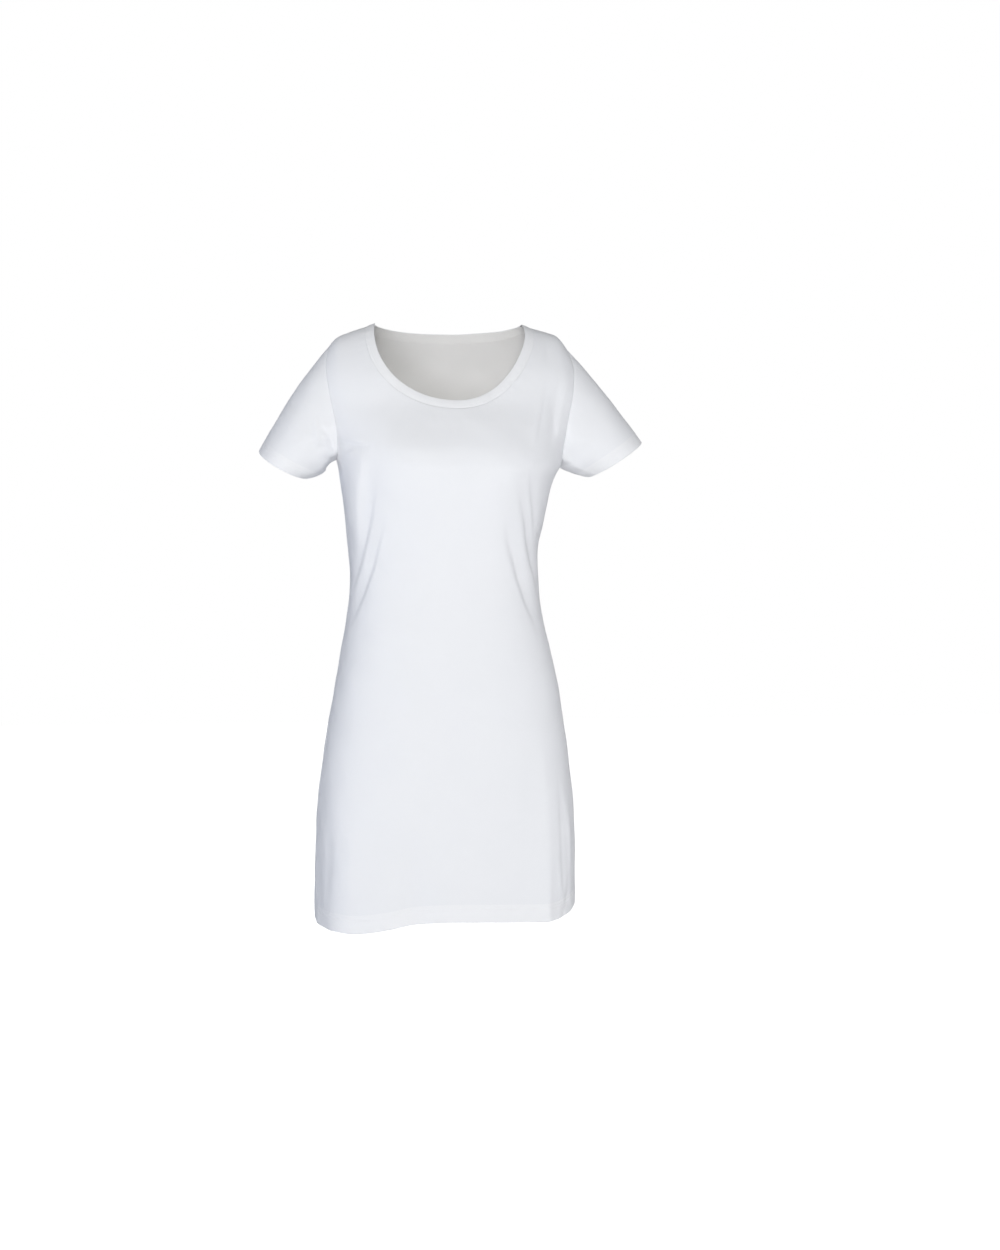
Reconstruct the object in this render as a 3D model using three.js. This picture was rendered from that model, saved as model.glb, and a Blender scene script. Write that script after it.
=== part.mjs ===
// A short-sleeved t-shirt dress in white jersey, hollow and shaped as worn, in the pieces it is cut in.
// Millimetres. +X is the wearer's left, -Y the front, +Z up. The origin lies midway between the two
// points where the neckline meets the shoulders, and the dress hangs below it.

import * as THREE from "three";

const degrees = Math.PI / 180;

// Driving dimensions: cloth and sewing.
const CLOTH = 1.5;
const TURNED_CLOTH = 3;
const BAND_CLOTH = 2.2;
const SEAM_GAP = 0.3;
const HEM_TURN = 24;
const CUFF_TURN = 18;
const TURN_STEP = 1.5;

// Driving dimensions: the shoulders, seen from the front.
const NECK_HALF = 108;
const SHOULDER_SLOPE = { right: Math.tan(19 * degrees), left: Math.tan(14.5 * degrees) };
const SLEEVE_SLOPE = Math.tan(55 * degrees);
const SHOULDER_CORNER = { right: 165, left: 161 };
const CORNER_SOFTNESS = 5;
const SHOULDER_TIP = 175;
const SHOULDER_ROUND = 95;

// Half the way round the front, from the centre line to a side seam: the measure that folds use.
const HALF_GIRTH = 235;

const COLUMNS = 28;
const SHOULDER_COLUMNS = 6;
const SKIRT_ROWS = 22;
const ARMHOLE_ROWS = 13;
const ARMPIT_CROWDING = 0.5;
const SLEEVE_ROWS = 6;
const BAND_ROWS = [0, 0.35, 0.7, 1];

const FRONT = -1;
const BACK = 1;
const RIGHT = -1;
const LEFT = 1;

// The body's section at each drop below the neck: half widths on the wearer's right and left, depths
// in front of and behind the side seams, and how square the section is (2 is an ellipse).
const BODY = table("drop right left front back square", [
  [-5, 236, 236, 59, 51, 2.6],
  [30, 225, 225, 63, 62, 2.6],
  [65, 214, 214, 67, 73, 2.6],
  [115, 194, 194, 78, 88, 2.6],
  [150, 180, 180, 97, 95, 2.5],
  [180, 168, 168, 112, 97, 2.45],
  [205, 161, 163, 118, 98, 2.45],
  [220, 158.5, 155, 118, 97, 2.45],
  [240, 156, 148, 117, 94, 2.4],
  [290, 149, 138, 108, 86, 2.4],
  [320, 146, 131, 103, 82, 2.4],
  [365, 143, 130.5, 98, 78, 2.4],
  [400, 144.5, 132, 99, 83, 2.4],
  [450, 152, 142, 104, 95, 2.4],
  [520, 164, 158, 110, 110, 2.4],
  [562, 171, 165, 112, 118, 2.4],
  [603, 178, 171, 113, 120, 2.4],
  [690, 189.5, 179.5, 115, 117, 2.4],
  [780, 193, 182, 116, 114, 2.45],
  [890, 193.5, 181, 118, 114, 2.45],
]);

// The armhole seam seen from the front: how far it lies from the centre line at each drop.
const ARMHOLE = table("drop reach", [
  [34, 175],
  [45, 178],
  [65, 180.5],
  [100, 177],
  [130, 171],
  [150, 167],
  [180, 163.5],
  [200, 162],
]);
const ARMPIT_DROP = { [RIGHT]: 198, [LEFT]: 207 };

// The neckline's two loops, from the point on the shoulder to the middle of the front or back.
// Each is a rounded arc: its half width, its drop at the shoulder and its drop at the middle.
const NECK = {
  seam: { half: 125, shoulder: 4.1, front: 126.5, back: 22 },
  edge: { half: 113, shoulder: -1, front: 115, back: 10 },
};
const NECK_NARROWING = 5;
const NECK_SWING = -5;
const NECK_FULLNESS = 0.93;
const NECK_CURVE = { [FRONT]: 1.08, [BACK]: 1.3 };

// Where a panel's neckline turns from running down to running across, and how many rows of cloth
// above the armpit lie below that corner.
const NECK_CORNER = { [FRONT]: 45 * degrees, [BACK]: 42 * degrees };
const ROWS_BELOW_NECK = { [FRONT]: 6, [BACK]: 9 };
const BAND_LEAN = { [FRONT]: 5.5, [BACK]: 3 };
const BAND_ROLL = 0.7;

// The hem's height along the front and back: the drop at each distance from the centre line.
const HEM = table("across front back", [
  [-195, 866, 866],
  [-165, 866, 866],
  [-150, 867, 866],
  [-130, 865, 865],
  [-90, 858, 862],
  [-60, 852, 860],
  [-20, 848.5, 858],
  [20, 849.5, 856],
  [100, 853, 850],
  [135, 853, 846],
  [160, 848, 842],
  [185, 836, 836],
]);

// The bust: two rounded rises that the cloth bridges between.
const BUST = table("across drop wide tall rise", [
  [-86, 216, 50, 56, 10],
  [88, 218, 50, 56, 10],
  [0, 222, 90, 50, 3],
]);

// Folds of the dress. Across is measured along the cloth from the centre front, past the side seams
// at HALF_GIRTH each way. A fold runs from its first to its second end, and rise is how far it
// stands out at its middle: less than nothing is a trough.
const FOLDS = table("across1 drop1 across2 drop2 wide rise", [
  [-98, 255, -160, 415, 13, -3.5],
  [-128, 250, -185, 390, 15, 2.5],
  [100, 235, 148, 372, 11, -4],
  [78, 278, 128, 410, 10, -3],
  [118, 225, 170, 350, 10, 2.5],
  [150, 85, 142, 195, 11, -3],
  [172, 95, 168, 190, 10, 2.5],
  [-172, 172, -140, 182, 8, -2.5],
  [-10, 650, -45, 880, 30, -5.5],
  [-120, 620, -130, 900, 38, 4],
  [168, 640, 174, 900, 13, 6],
  [200, 660, 203, 900, 13, -4.5],
  [-198, 640, -205, 900, 12, 3.5],
  [-224, 660, -228, 900, 12, -4],
  [70, 690, 92, 900, 34, 3],
  [275, 650, 268, 900, 18, 4],
  [330, 560, 345, 900, 26, -5],
  [400, 600, 395, 900, 26, 5],
  [-285, 640, -275, 900, 18, 4.5],
  [-340, 600, -360, 900, 24, -5],
  [-410, 560, -398, 900, 28, 4],
  [-300, 330, -420, 352, 12, -4],
  [300, 372, 430, 350, 13, -4.5],
  [-440, 415, 300, 430, 13, -3.5],
  [270, 235, 330, 340, 13, -3],
  [-265, 240, -325, 325, 13, -3],
]);

// The sleeves: the cuff's middle, the way it points, its radii in the front view and front to back,
// and how far the sleeve bellies out between armhole and cuff.
const SLEEVES = table("name side x y z alongX alongY alongZ tall deep belly", [
  ["sleeve_right", RIGHT, -245, 5, -204.5, -0.55, 0.2, -0.81, 37.5, 51, 5],
  ["sleeve_left", LEFT, 247.5, 0, -199.5, 0.6, 0.04, -0.8, 46, 45, 3],
]);

// Creases of the sleeves: turn is 0 along the top of the sleeve, 90 in front, 180 beneath and 270
// behind, and along is 0 at the armhole and 1 at the cuff.
const SLEEVE_FOLDS = table("side turn1 along1 turn2 along2 wide rise", [
  [RIGHT, 155, 0.05, 96, 0.62, 9, -3],
  [RIGHT, 125, 0.1, 70, 0.7, 9, 2],
  [RIGHT, 205, 0.05, 262, 0.6, 10, -3],
  [LEFT, 150, 0.05, 110, 0.7, 10, -2],
  [LEFT, 208, 0.05, 255, 0.65, 10, -3],
]);

const WHITE_JERSEY = { color: 0xf1f2f6, roughness: 0.92, metalness: 0 };
const BAND_JERSEY = { color: 0xeff0f5, roughness: 0.94, metalness: 0 };

const hemDrop = { [FRONT]: curve(HEM, "across", "front"), [BACK]: curve(HEM, "across", "back") };
const halfWidth = { [RIGHT]: curve(BODY, "drop", "right"), [LEFT]: curve(BODY, "drop", "left") };
const depth = { [FRONT]: curve(BODY, "drop", "front"), [BACK]: curve(BODY, "drop", "back") };
const squareness = curve(BODY, "drop", "square");
const armholeReach = curve(ARMHOLE, "drop", "reach");

// Rows of numbers under a line of column names.
function table(names, rows) {
  const columns = names.split(" ");
  return rows.map((row) => Object.fromEntries(columns.map((name, i) => [name, row[i]])));
}

// A smooth curve through one column of a table against another, level beyond its ends.
function curve(rows, from, to) {
  const x = rows.map((row) => row[from]);
  const y = rows.map((row) => row[to]);
  const last = x.length - 1;
  const slope = y.map((_, i) => {
    const before = Math.max(i - 1, 0);
    const after = Math.min(i + 1, last);
    return (y[after] - y[before]) / (x[after] - x[before]);
  });
  return (at) => {
    const value = THREE.MathUtils.clamp(at, x[0], x[last]);
    const i = Math.max(0, Math.min(last, x.findIndex((end) => end > value + 1e-9) - 1));
    if (value >= x[last]) return y[last];
    const step = x[i + 1] - x[i];
    const t = (value - x[i]) / step;
    const rise = y[i + 1] - y[i];
    const a = slope[i] * step - rise;
    const b = rise - slope[i + 1] * step;
    return y[i] + t * rise + t * (1 - t) * (a * (1 - t) + b * t);
  };
}

const lerp = THREE.MathUtils.lerp;
const bump = (distance, wide) => Math.exp(-((distance / wide) ** 2));
const signedPower = (value, power) => Math.sign(value) * Math.abs(value) ** power;

// The height of the shoulder line: a gentle slope from the neck that turns down into the sleeve.
// The wearer's left shoulder is held a little higher than the right.
function shoulderHeight(x) {
  const out = Math.abs(x);
  const share = THREE.MathUtils.smoothstep(x, -NECK_HALF, NECK_HALF);
  const slope = lerp(SHOULDER_SLOPE.right, SHOULDER_SLOPE.left, share);
  const corner = lerp(SHOULDER_CORNER.right, SHOULDER_CORNER.left, share);
  const turn = CORNER_SOFTNESS * Math.log1p(Math.exp((out - corner) / CORNER_SOFTNESS));
  return -slope * (out - NECK_HALF) - (SLEEVE_SLOPE - slope) * turn;
}

// How far front and back have parted at a depth below the shoulder line: a quarter circle.
function parting(below) {
  const left = 1 - THREE.MathUtils.clamp(below / SHOULDER_ROUND, 0, 1);
  return Math.sqrt(1 - left * left);
}

function section(z) {
  const right = halfWidth[RIGHT](-z);
  const left = halfWidth[LEFT](-z);
  return { middle: (left - right) / 2, half: (left + right) / 2, power: 2 / squareness(-z) };
}

// Where a point at x lies round the section at height z: -1 and 1 are the side seams.
function roundAt(x, z) {
  const { middle, half, power } = section(z);
  const share = THREE.MathUtils.clamp((x - middle) / half, -1, 1);
  return Math.asin(signedPower(share, 1 / power)) / (Math.PI / 2);
}

// How far the folds lift the cloth at a place on it. Around is the distance from the centre front.
function foldRise(around, drop) {
  let rise = 0;
  for (const fold of FOLDS) {
    const run = fold.across2 - fold.across1;
    const fall = fold.drop2 - fold.drop1;
    const length = Math.hypot(run, fall);
    for (const turn of [-4 * HALF_GIRTH, 0, 4 * HALF_GIRTH]) {
      const x = around + turn - fold.across1;
      const y = drop - fold.drop1;
      const along = (x * run + y * fall) / (length * length);
      const off = (x * fall - y * run) / length;
      const end = 4 * along * (1 - along);
      if (along > 0 && along < 1) rise += fold.rise * Math.sqrt(end) * end * bump(off, fold.wide);
    }
  }
  return rise;
}

// A point of the body's outer face: face is FRONT or BACK, round runs from -1 to 1 between the sides.
function bodyPoint(face, round, z) {
  const { middle, half, power } = section(z);
  const angle = (round * Math.PI) / 2;
  const x = middle + half * signedPower(Math.sin(angle), power);
  let out = depth[face](-z) * Math.abs(Math.cos(angle)) ** power;
  if (face === FRONT) {
    for (const part of BUST) {
      out += part.rise * bump(x - part.across, part.wide) * bump(z + part.drop, part.tall);
    }
  }
  out *= parting(shoulderHeight(x) - z);
  const point = new THREE.Vector3(x, face * out, z);
  const way = new THREE.Vector3(x - middle, face * out, 0).normalize();
  const across = face === FRONT ? round : Math.sign(round) * (2 - Math.abs(round));
  return point.addScaledVector(way, foldRise(across * HALF_GIRTH, -z));
}

const bodyAt = (face, x, z) => bodyPoint(face, roundAt(x, z), z);

// One loop of the neckline: turn is 0 at the wearer's left shoulder and 180 degrees at the right.
function neckPlace(loop, face, turn) {
  const sine = Math.sin(turn);
  const narrowing = face === FRONT ? NECK_NARROWING * (1 - sine) ** 8 : NECK_NARROWING;
  const swing = face === FRONT ? NECK_SWING * Math.sin(Math.PI * sine ** 1.5) : 0;
  const x = (loop.half - narrowing) * signedPower(Math.cos(turn), NECK_FULLNESS) + swing;
  const end = face === FRONT ? loop.front : loop.back;
  const drop = loop.shoulder + (end - loop.shoulder) * sine ** NECK_CURVE[face];
  return { x, z: -drop };
}

// The rows' share of the way up from the armpit to the shoulder, closest together at the top and
// a little closer at the armpit.
function riseShare(row) {
  const angle = (row / ARMHOLE_ROWS) * (Math.PI / 2);
  return lerp(Math.sin(angle), Math.sin(angle) ** 2, ARMPIT_CROWDING);
}

// The turn at which a row above a neckline's corner meets the neckline.
function neckSideTurn(face, side, row) {
  const foot = riseShare(ROWS_BELOW_NECK[face]);
  const share = (1 - riseShare(ROWS_BELOW_NECK[face] + row)) / (1 - foot);
  const turn = Math.asin(share ** (1 / NECK_CURVE[face]) * Math.sin(NECK_CORNER[face]));
  return side === LEFT ? turn : Math.PI - turn;
}

// The place of the armhole seam at a row above the armpit, in the front view.
function armholePlace(side, row) {
  const tip = shoulderHeight(side * SHOULDER_TIP);
  const z = lerp(-ARMPIT_DROP[side], tip, riseShare(row));
  if (row === 0) return { x: side * halfWidth[side](-z), z };
  if (row === ARMHOLE_ROWS) return { x: side * SHOULDER_TIP, z };
  return { x: side * armholeReach(-z), z };
}

// A grid between four edges, each a list of pairs: the edges' blend, less the corners' blend.
function blendGrid(bottom, top, right, left) {
  const columns = bottom.length - 1;
  const rows = right.length - 1;
  return right.map((start, j) =>
    bottom.map((base, i) => {
      const s = i / columns;
      const t = (right[j][1] - right[0][1]) / (right[rows][1] - right[0][1]);
      return [0, 1].map((k) => {
        const upright = lerp(base[k], top[i][k], t);
        const level = lerp(start[k], left[j][k], s);
        const corners = lerp(
          lerp(bottom[0][k], top[0][k], t),
          lerp(bottom[columns][k], top[columns][k], t),
          s,
        );
        return upright + level - corners;
      });
    }),
  );
}

const series = (count, make) => Array.from({ length: count + 1 }, (_, i) => make(i));

// The drops of the skirt's rows down a side seam, with two close rows at the top of the turn-up.
function skirtShare(row, length) {
  const turn = HEM_TURN / length;
  if (row === 0) return 0;
  if (row === 1) return turn / 2;
  if (row === 2) return turn;
  const start = turn + TURN_STEP / length;
  return lerp(start, 1, (row - 3) / (SKIRT_ROWS - 3));
}

// Seam points that two or three pieces share. Each is one object, so pieces meet exactly.
function makeSeams() {
  const seams = { side: {}, shoulder: {}, armhole: { [FRONT]: {}, [BACK]: {} } };
  for (const side of [RIGHT, LEFT]) {
    const armpit = armholePlace(side, 0);
    const hem = -hemDrop[FRONT](side * halfWidth[side](870));
    seams.side[side] = series(SKIRT_ROWS, (row) => {
      const z = lerp(hem, armpit.z, skirtShare(row, armpit.z - hem));
      return bodyPoint(FRONT, side, z);
    });
    const shoulder = series(SHOULDER_COLUMNS, (column) => {
      const x = lerp(SHOULDER_TIP, NECK.seam.half - NECK_NARROWING, column / SHOULDER_COLUMNS);
      return new THREE.Vector3(side * x, 0, shoulderHeight(side * x));
    });
    seams.shoulder[side] = shoulder;
    for (const face of [FRONT, BACK]) {
      seams.armhole[face][side] = series(ARMHOLE_ROWS, (row) => {
        if (row === 0) return seams.side[side][SKIRT_ROWS];
        if (row === ARMHOLE_ROWS) return shoulder[0];
        const place = armholePlace(side, row);
        return bodyAt(face, place.x, place.z);
      });
    }
  }
  return seams;
}

const seams = makeSeams();

// The lower part of a panel, from the hem to the row that passes the neckline's corners.
function lowerGrid(face, topPlaces) {
  const edge = (side) => [
    ...seams.side[side].map((point) => [side, point.z]),
    ...series(ROWS_BELOW_NECK[face] - 1, (i) => {
      const place = armholePlace(side, i + 1);
      return [roundAt(place.x, place.z), place.z];
    }),
  ];
  const right = edge(RIGHT);
  const left = edge(LEFT);
  const bottom = series(COLUMNS, (column) => {
    if (column === 0) return right[0];
    if (column === COLUMNS) return left[0];
    const round = lerp(-1, 1, column / COLUMNS);
    return [round, -hemDrop[face](bodyPoint(face, round, right[0][1]).x)];
  });
  const top = topPlaces.map((place) => [roundAt(place.x, place.z), place.z]);
  return blendGrid(bottom, top, right, left).map((row, j) =>
    row.map(([round, z], i) => {
      if (i > 0 && i < COLUMNS) return bodyPoint(face, round, z);
      const side = i === 0 ? RIGHT : LEFT;
      return seams.side[side][j] ?? seams.armhole[face][side][j - SKIRT_ROWS];
    }),
  );
}

// The block of cloth between an armhole and the side of the neckline, up to the shoulder seam.
// Between its edges it is blended in x and in the depth below the shoulder line.
function shoulderBlock(face, bottom, shoulder, arm, neck) {
  const pair = ({ x, z }) => [x, shoulderHeight(x) - z];
  const last = arm.length - 1;
  const grid = blendGrid(bottom.map(pair), shoulder.map(pair), arm.map(pair), neck.map(pair));
  return grid.map((row, j) =>
    row.map(([x, below], i) => {
      if (j === 0) return bottom[i];
      if (j === last) return shoulder[i];
      if (i === 0) return arm[j];
      if (i === SHOULDER_COLUMNS) return neck[j];
      return bodyAt(face, x, shoulderHeight(x) - below);
    }),
  );
}

// Joins grids into a list of points and a list of four-cornered cells that face outwards.
function weave(grids, outward) {
  const points = [];
  const index = new Map();
  const cells = [];
  const number = (point) => {
    if (!index.has(point)) index.set(point, points.push(point) - 1);
    return index.get(point);
  };
  for (const grid of grids) {
    for (let j = 0; j + 1 < grid.length; j += 1) {
      for (let i = 0; i + 1 < grid[j].length; i += 1) {
        const cell = [grid[j][i], grid[j][i + 1], grid[j + 1][i + 1], grid[j + 1][i]].map(number);
        cells.push(outward ? cell : cell.reverse());
      }
    }
  }
  return { points, cells };
}

// A panel: full rows up to the neckline's corners, then a block on each side of the neckline.
function panel(face) {
  const across = COLUMNS - 2 * SHOULDER_COLUMNS;
  const corner = NECK_CORNER[face];
  const neckAt = (turn) => {
    const place = neckPlace(NECK.seam, face, turn);
    return { turn, face, point: bodyAt(face, place.x, place.z) };
  };
  const neck = series(across, (i) => neckAt(lerp(Math.PI - corner, corner, i / across)));
  const foot = (side) => {
    const start = seams.armhole[face][side][ROWS_BELOW_NECK[face]];
    const end = neck[side === RIGHT ? 0 : across].point;
    return series(SHOULDER_COLUMNS, (i) => start.clone().lerp(end, i / SHOULDER_COLUMNS));
  };
  const middle = neck.slice(1, -1).map(({ point }) => point);
  const lower = lowerGrid(face, [...foot(RIGHT), ...middle, ...foot(LEFT).reverse()]);
  const top = lower[lower.length - 1];
  neck.forEach(({ point }, i) => {
    top[SHOULDER_COLUMNS + i] = point;
  });
  const neckSides = {};
  const blocks = [RIGHT, LEFT].map((side) => {
    const bottom = (side === RIGHT ? top : [...top].reverse()).slice(0, SHOULDER_COLUMNS + 1);
    const arm = seams.armhole[face][side].slice(ROWS_BELOW_NECK[face]);
    const shoulder = seams.shoulder[side];
    const edge = arm.map((_, j) => neckAt(neckSideTurn(face, side, j)));
    edge[0].point = bottom[SHOULDER_COLUMNS];
    edge[arm.length - 1].point = shoulder[SHOULDER_COLUMNS];
    neckSides[side] = edge;
    const block = shoulderBlock(face, bottom, shoulder, arm, edge.map(({ point }) => point));
    return side === RIGHT ? block : block.map((row) => [...row].reverse());
  });
  const rightSide = [...neckSides[RIGHT]].reverse();
  return { lower, blocks, neckline: [...rightSide, ...neck.slice(1, -1), ...neckSides[LEFT]] };
}

// How far the creases lift a sleeve at a place on it.
function sleeveRise(side, turn, along, lengths) {
  let rise = 0;
  for (const fold of SLEEVE_FOLDS.filter((row) => row.side === side)) {
    const run = (fold.turn2 - fold.turn1) * lengths.turn;
    const reach = (fold.along2 - fold.along1) * lengths.along;
    const x = (turn - fold.turn1) * lengths.turn;
    const y = (along - fold.along1) * lengths.along;
    const length = Math.hypot(run, reach);
    const share = (x * run + y * reach) / (length * length);
    const off = (x * reach - y * run) / length;
    if (share > 0 && share < 1) rise += fold.rise * 4 * share * (1 - share) * bump(off, fold.wide);
  }
  return rise;
}

// A sleeve: straight runs of cloth from the armhole loop to the cuff's oval, bellied out between.
function sleeveGrid(row) {
  const front = seams.armhole[FRONT][row.side];
  const back = seams.armhole[BACK][row.side];
  const loop = [...front, ...[...back].slice(1, -1).reverse()];
  const middle = new THREE.Vector3(row.x, row.y, row.z);
  const along = new THREE.Vector3(row.alongX, row.alongY, row.alongZ).normalize();
  const forward = new THREE.Vector3(0, -1, 0).addScaledVector(along, along.y).normalize();
  const upward = new THREE.Vector3().crossVectors(forward, along).multiplyScalar(row.side);
  const lengthOf = (edge) =>
    edge.slice(1).reduce((sums, point, i) => [...sums, sums[i] + point.distanceTo(edge[i])], [0]);
  const turns = [front, back].map((edge) => {
    const sums = lengthOf(edge);
    return sums.map((sum) => 1 - sum / sums[sums.length - 1]);
  });
  const angles = [
    ...turns[0].map((share) => share * Math.PI),
    ...turns[1].slice(1, -1).map((share) => (2 - share) * Math.PI).reverse(),
  ];
  const lengths = { turn: 280 / 360, along: 150 };
  const columns = loop.map((start, i) => {
    const angle = angles[i];
    const out = upward
      .clone()
      .multiplyScalar(Math.cos(angle) * row.tall)
      .addScaledVector(forward, Math.sin(angle) * row.deep);
    const end = middle.clone().add(out);
    const run = end.distanceTo(start);
    const turn = CUFF_TURN / run;
    const shares = [
      ...series(SLEEVE_ROWS, (k) => (k / SLEEVE_ROWS) * (1 - turn - TURN_STEP / run)),
      1 - turn,
      1 - turn / 2,
      1,
    ];
    const way = out.clone().normalize();
    return shares.map((share, k) => {
      if (k === 0) return start;
      const degreesRound = (angle / degrees + 360) % 360;
      const lift =
        row.belly * 4 * share * (1 - share) + sleeveRise(row.side, degreesRound, share, lengths);
      return start.clone().lerp(end, share).addScaledVector(way, lift);
    });
  });
  columns.push(columns[0]);
  return columns[0].map((_, k) => columns.map((column) => column[k]));
}

// The neckband: rows from the neckline seam to the band's free edge, rolled a little outwards.
function bandGrid(front, back) {
  const loop = [...front.neckline, ...[...back.neckline].reverse().slice(1, -1)];
  const columns = loop.map(({ turn, point, face }) => {
    const place = neckPlace(NECK.edge, face, turn);
    const lean = -face * BAND_LEAN[face] * Math.sin(turn);
    const edge = new THREE.Vector3(place.x, point.y + lean, place.z);
    const out = new THREE.Vector3(point.x / 4, face * NECK_HALF * Math.sin(turn), NECK_HALF / 2);
    out.normalize();
    return BAND_ROWS.map((share, k) => {
      if (k === 0) return point;
      return point.clone().lerp(edge, share).addScaledVector(out, BAND_ROLL * 4 * share * (1 - share));
    });
  });
  columns.push(columns[0]);
  return BAND_ROWS.map((_, k) => columns.map((column) => column[k]));
}

// The outward direction at each point: the mean of the faces round it, over all pieces that share it.
function addNormals(normals, own, { points, cells }) {
  const across = new THREE.Vector3();
  const along = new THREE.Vector3();
  for (const [a, b, c, d] of cells) {
    across.subVectors(points[c], points[a]);
    along.subVectors(points[d], points[b]);
    const face = new THREE.Vector3().crossVectors(across, along).normalize();
    for (const corner of [a, b, c, d]) {
      const point = points[corner];
      if (!own.has(point)) own.set(point, new THREE.Vector3());
      own.get(point).add(face);
    }
  }
  for (const [point, sum] of own) {
    sum.normalize();
    if (!normals.has(point)) normals.set(point, new THREE.Vector3());
    normals.get(point).add(sum);
  }
}

// Thickens a piece inwards from its outer face. Its edges are drawn back by half the seam gap.
function thicken({ points, cells }, normals, own, wallAt) {
  const next = new Map();
  const twins = new Set(cells.flatMap((cell) => cell.map((a, k) => `${a},${cell[(k + 1) % 4]}`)));
  for (const cell of cells) {
    cell.forEach((a, k) => {
      const b = cell[(k + 1) % 4];
      if (!twins.has(`${b},${a}`)) next.set(a, b);
    });
  }
  const previous = new Map([...next].map(([a, b]) => [b, a]));
  const outer = points.map((point, i) => {
    if (!next.has(i)) return point.clone();
    const before = new THREE.Vector3().subVectors(point, points[previous.get(i)]).normalize();
    const after = new THREE.Vector3().subVectors(points[next.get(i)], point).normalize();
    const run = before.add(after).multiplyScalar(0.5);
    const widen = Math.max(run.length(), 0.5);
    const inward = new THREE.Vector3().crossVectors(normals.get(point), run).normalize();
    return point.clone().addScaledVector(inward, SEAM_GAP / 2 / widen);
  });
  const inner = outer.map((point, i) => {
    const normal = normals.get(points[i]);
    const lean = Math.max(normal.dot(own.get(points[i])), 0.75);
    return point.clone().addScaledVector(normal, -wallAt(i) / lean);
  });
  const position = [...outer, ...inner].flatMap((point) => point.toArray());
  const shift = points.length;
  const faces = [];
  const quad = (a, b, c, d) => faces.push(a, b, c, a, c, d);
  for (const [a, b, c, d] of cells) {
    quad(a, b, c, d);
    quad(d + shift, c + shift, b + shift, a + shift);
  }
  // The edge's strip is split the same way on both sides of a seam, so that the gap stays even.
  for (const [a, b] of next) {
    if (points[a].z + points[a].x / 100 < points[b].z + points[b].x / 100) {
      quad(b, a, a + shift, b + shift);
    } else {
      quad(a, a + shift, b + shift, b);
    }
  }
  const geometry = new THREE.BufferGeometry();
  geometry.setAttribute("position", new THREE.Float32BufferAttribute(position, 3));
  geometry.setIndex(faces);
  geometry.computeVertexNormals();
  return geometry;
}

const front = panel(FRONT);
const back = panel(BACK);
const pieces = [
  { name: "front_panel", ...weave([front.lower, ...front.blocks], true), finish: WHITE_JERSEY },
  { name: "back_panel", ...weave([back.lower, ...back.blocks], false), finish: WHITE_JERSEY },
];
pieces[0].turned = new Set(front.lower.slice(0, 3).flat());
pieces[1].turned = new Set(back.lower.slice(0, 3).flat());
for (const row of SLEEVES) {
  const grid = sleeveGrid(row);
  const turned = new Set(grid.slice(-3).flat());
  pieces.push({ name: row.name, ...weave([grid], row.side === RIGHT), turned, finish: WHITE_JERSEY });
}
pieces.push({ name: "neckband", ...weave([bandGrid(front, back)], true), finish: BAND_JERSEY });

const normals = new Map();
const own = pieces.map(() => new Map());
pieces.forEach((piece, i) => addNormals(normals, own[i], piece));
for (const normal of normals.values()) normal.normalize();

const dress = new THREE.Group();
pieces.forEach((piece, i) => {
  const wallAt = (k) => {
    if (piece.name === "neckband") return BAND_CLOTH;
    return piece.turned.has(piece.points[k]) ? TURNED_CLOTH : CLOTH;
  };
  const geometry = thicken(piece, normals, own[i], wallAt);
  const mesh = new THREE.Mesh(geometry, new THREE.MeshStandardMaterial(piece.finish));
  mesh.name = piece.name;
  dress.add(mesh);
});

export default dress;
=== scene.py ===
import math

import bpy
import numpy as np
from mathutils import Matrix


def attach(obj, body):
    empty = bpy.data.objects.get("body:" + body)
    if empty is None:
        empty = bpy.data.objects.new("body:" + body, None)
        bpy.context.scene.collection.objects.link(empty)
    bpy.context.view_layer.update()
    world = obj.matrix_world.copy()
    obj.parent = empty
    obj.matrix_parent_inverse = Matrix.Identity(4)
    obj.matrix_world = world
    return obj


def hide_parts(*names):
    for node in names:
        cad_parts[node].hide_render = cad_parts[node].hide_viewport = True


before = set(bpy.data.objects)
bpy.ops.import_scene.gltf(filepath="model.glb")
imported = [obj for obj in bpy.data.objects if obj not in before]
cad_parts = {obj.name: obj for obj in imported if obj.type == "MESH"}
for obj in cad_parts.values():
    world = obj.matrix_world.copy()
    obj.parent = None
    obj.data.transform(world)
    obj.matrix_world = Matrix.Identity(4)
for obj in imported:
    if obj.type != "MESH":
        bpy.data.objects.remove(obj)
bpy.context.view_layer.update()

scene = bpy.context.scene

# The camera stands three metres off at chest height, seven degrees round to the wearer's right.
# Its frame is shifted to where the dress stands in the picture. Places are in metres.
PICTURE = (1000, 1250)
PIXEL = 0.00146
AXIS_PIXEL = (448, 530.5)
VIEW_DISTANCE = 3.0
VIEW_HEIGHT = -0.30
VIEW_TURN = math.radians(-7)
SENSOR = 36

camera = bpy.data.objects.new("camera", bpy.data.cameras.new("camera"))
camera.data.sensor_width = SENSOR
camera.data.lens = SENSOR * VIEW_DISTANCE / (PICTURE[1] * PIXEL)
camera.data.shift_x = (PICTURE[0] / 2 - AXIS_PIXEL[0]) / PICTURE[1]
camera.data.shift_y = (AXIS_PIXEL[1] - PICTURE[1] / 2) / PICTURE[1]
camera.location = (
    VIEW_DISTANCE * math.sin(VIEW_TURN),
    -VIEW_DISTANCE * math.cos(VIEW_TURN),
    VIEW_HEIGHT,
)
camera.rotation_euler = (math.pi / 2, 0, VIEW_TURN)
scene.collection.objects.link(camera)
scene.camera = camera
scene.view_settings.view_transform = "Standard"


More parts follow.
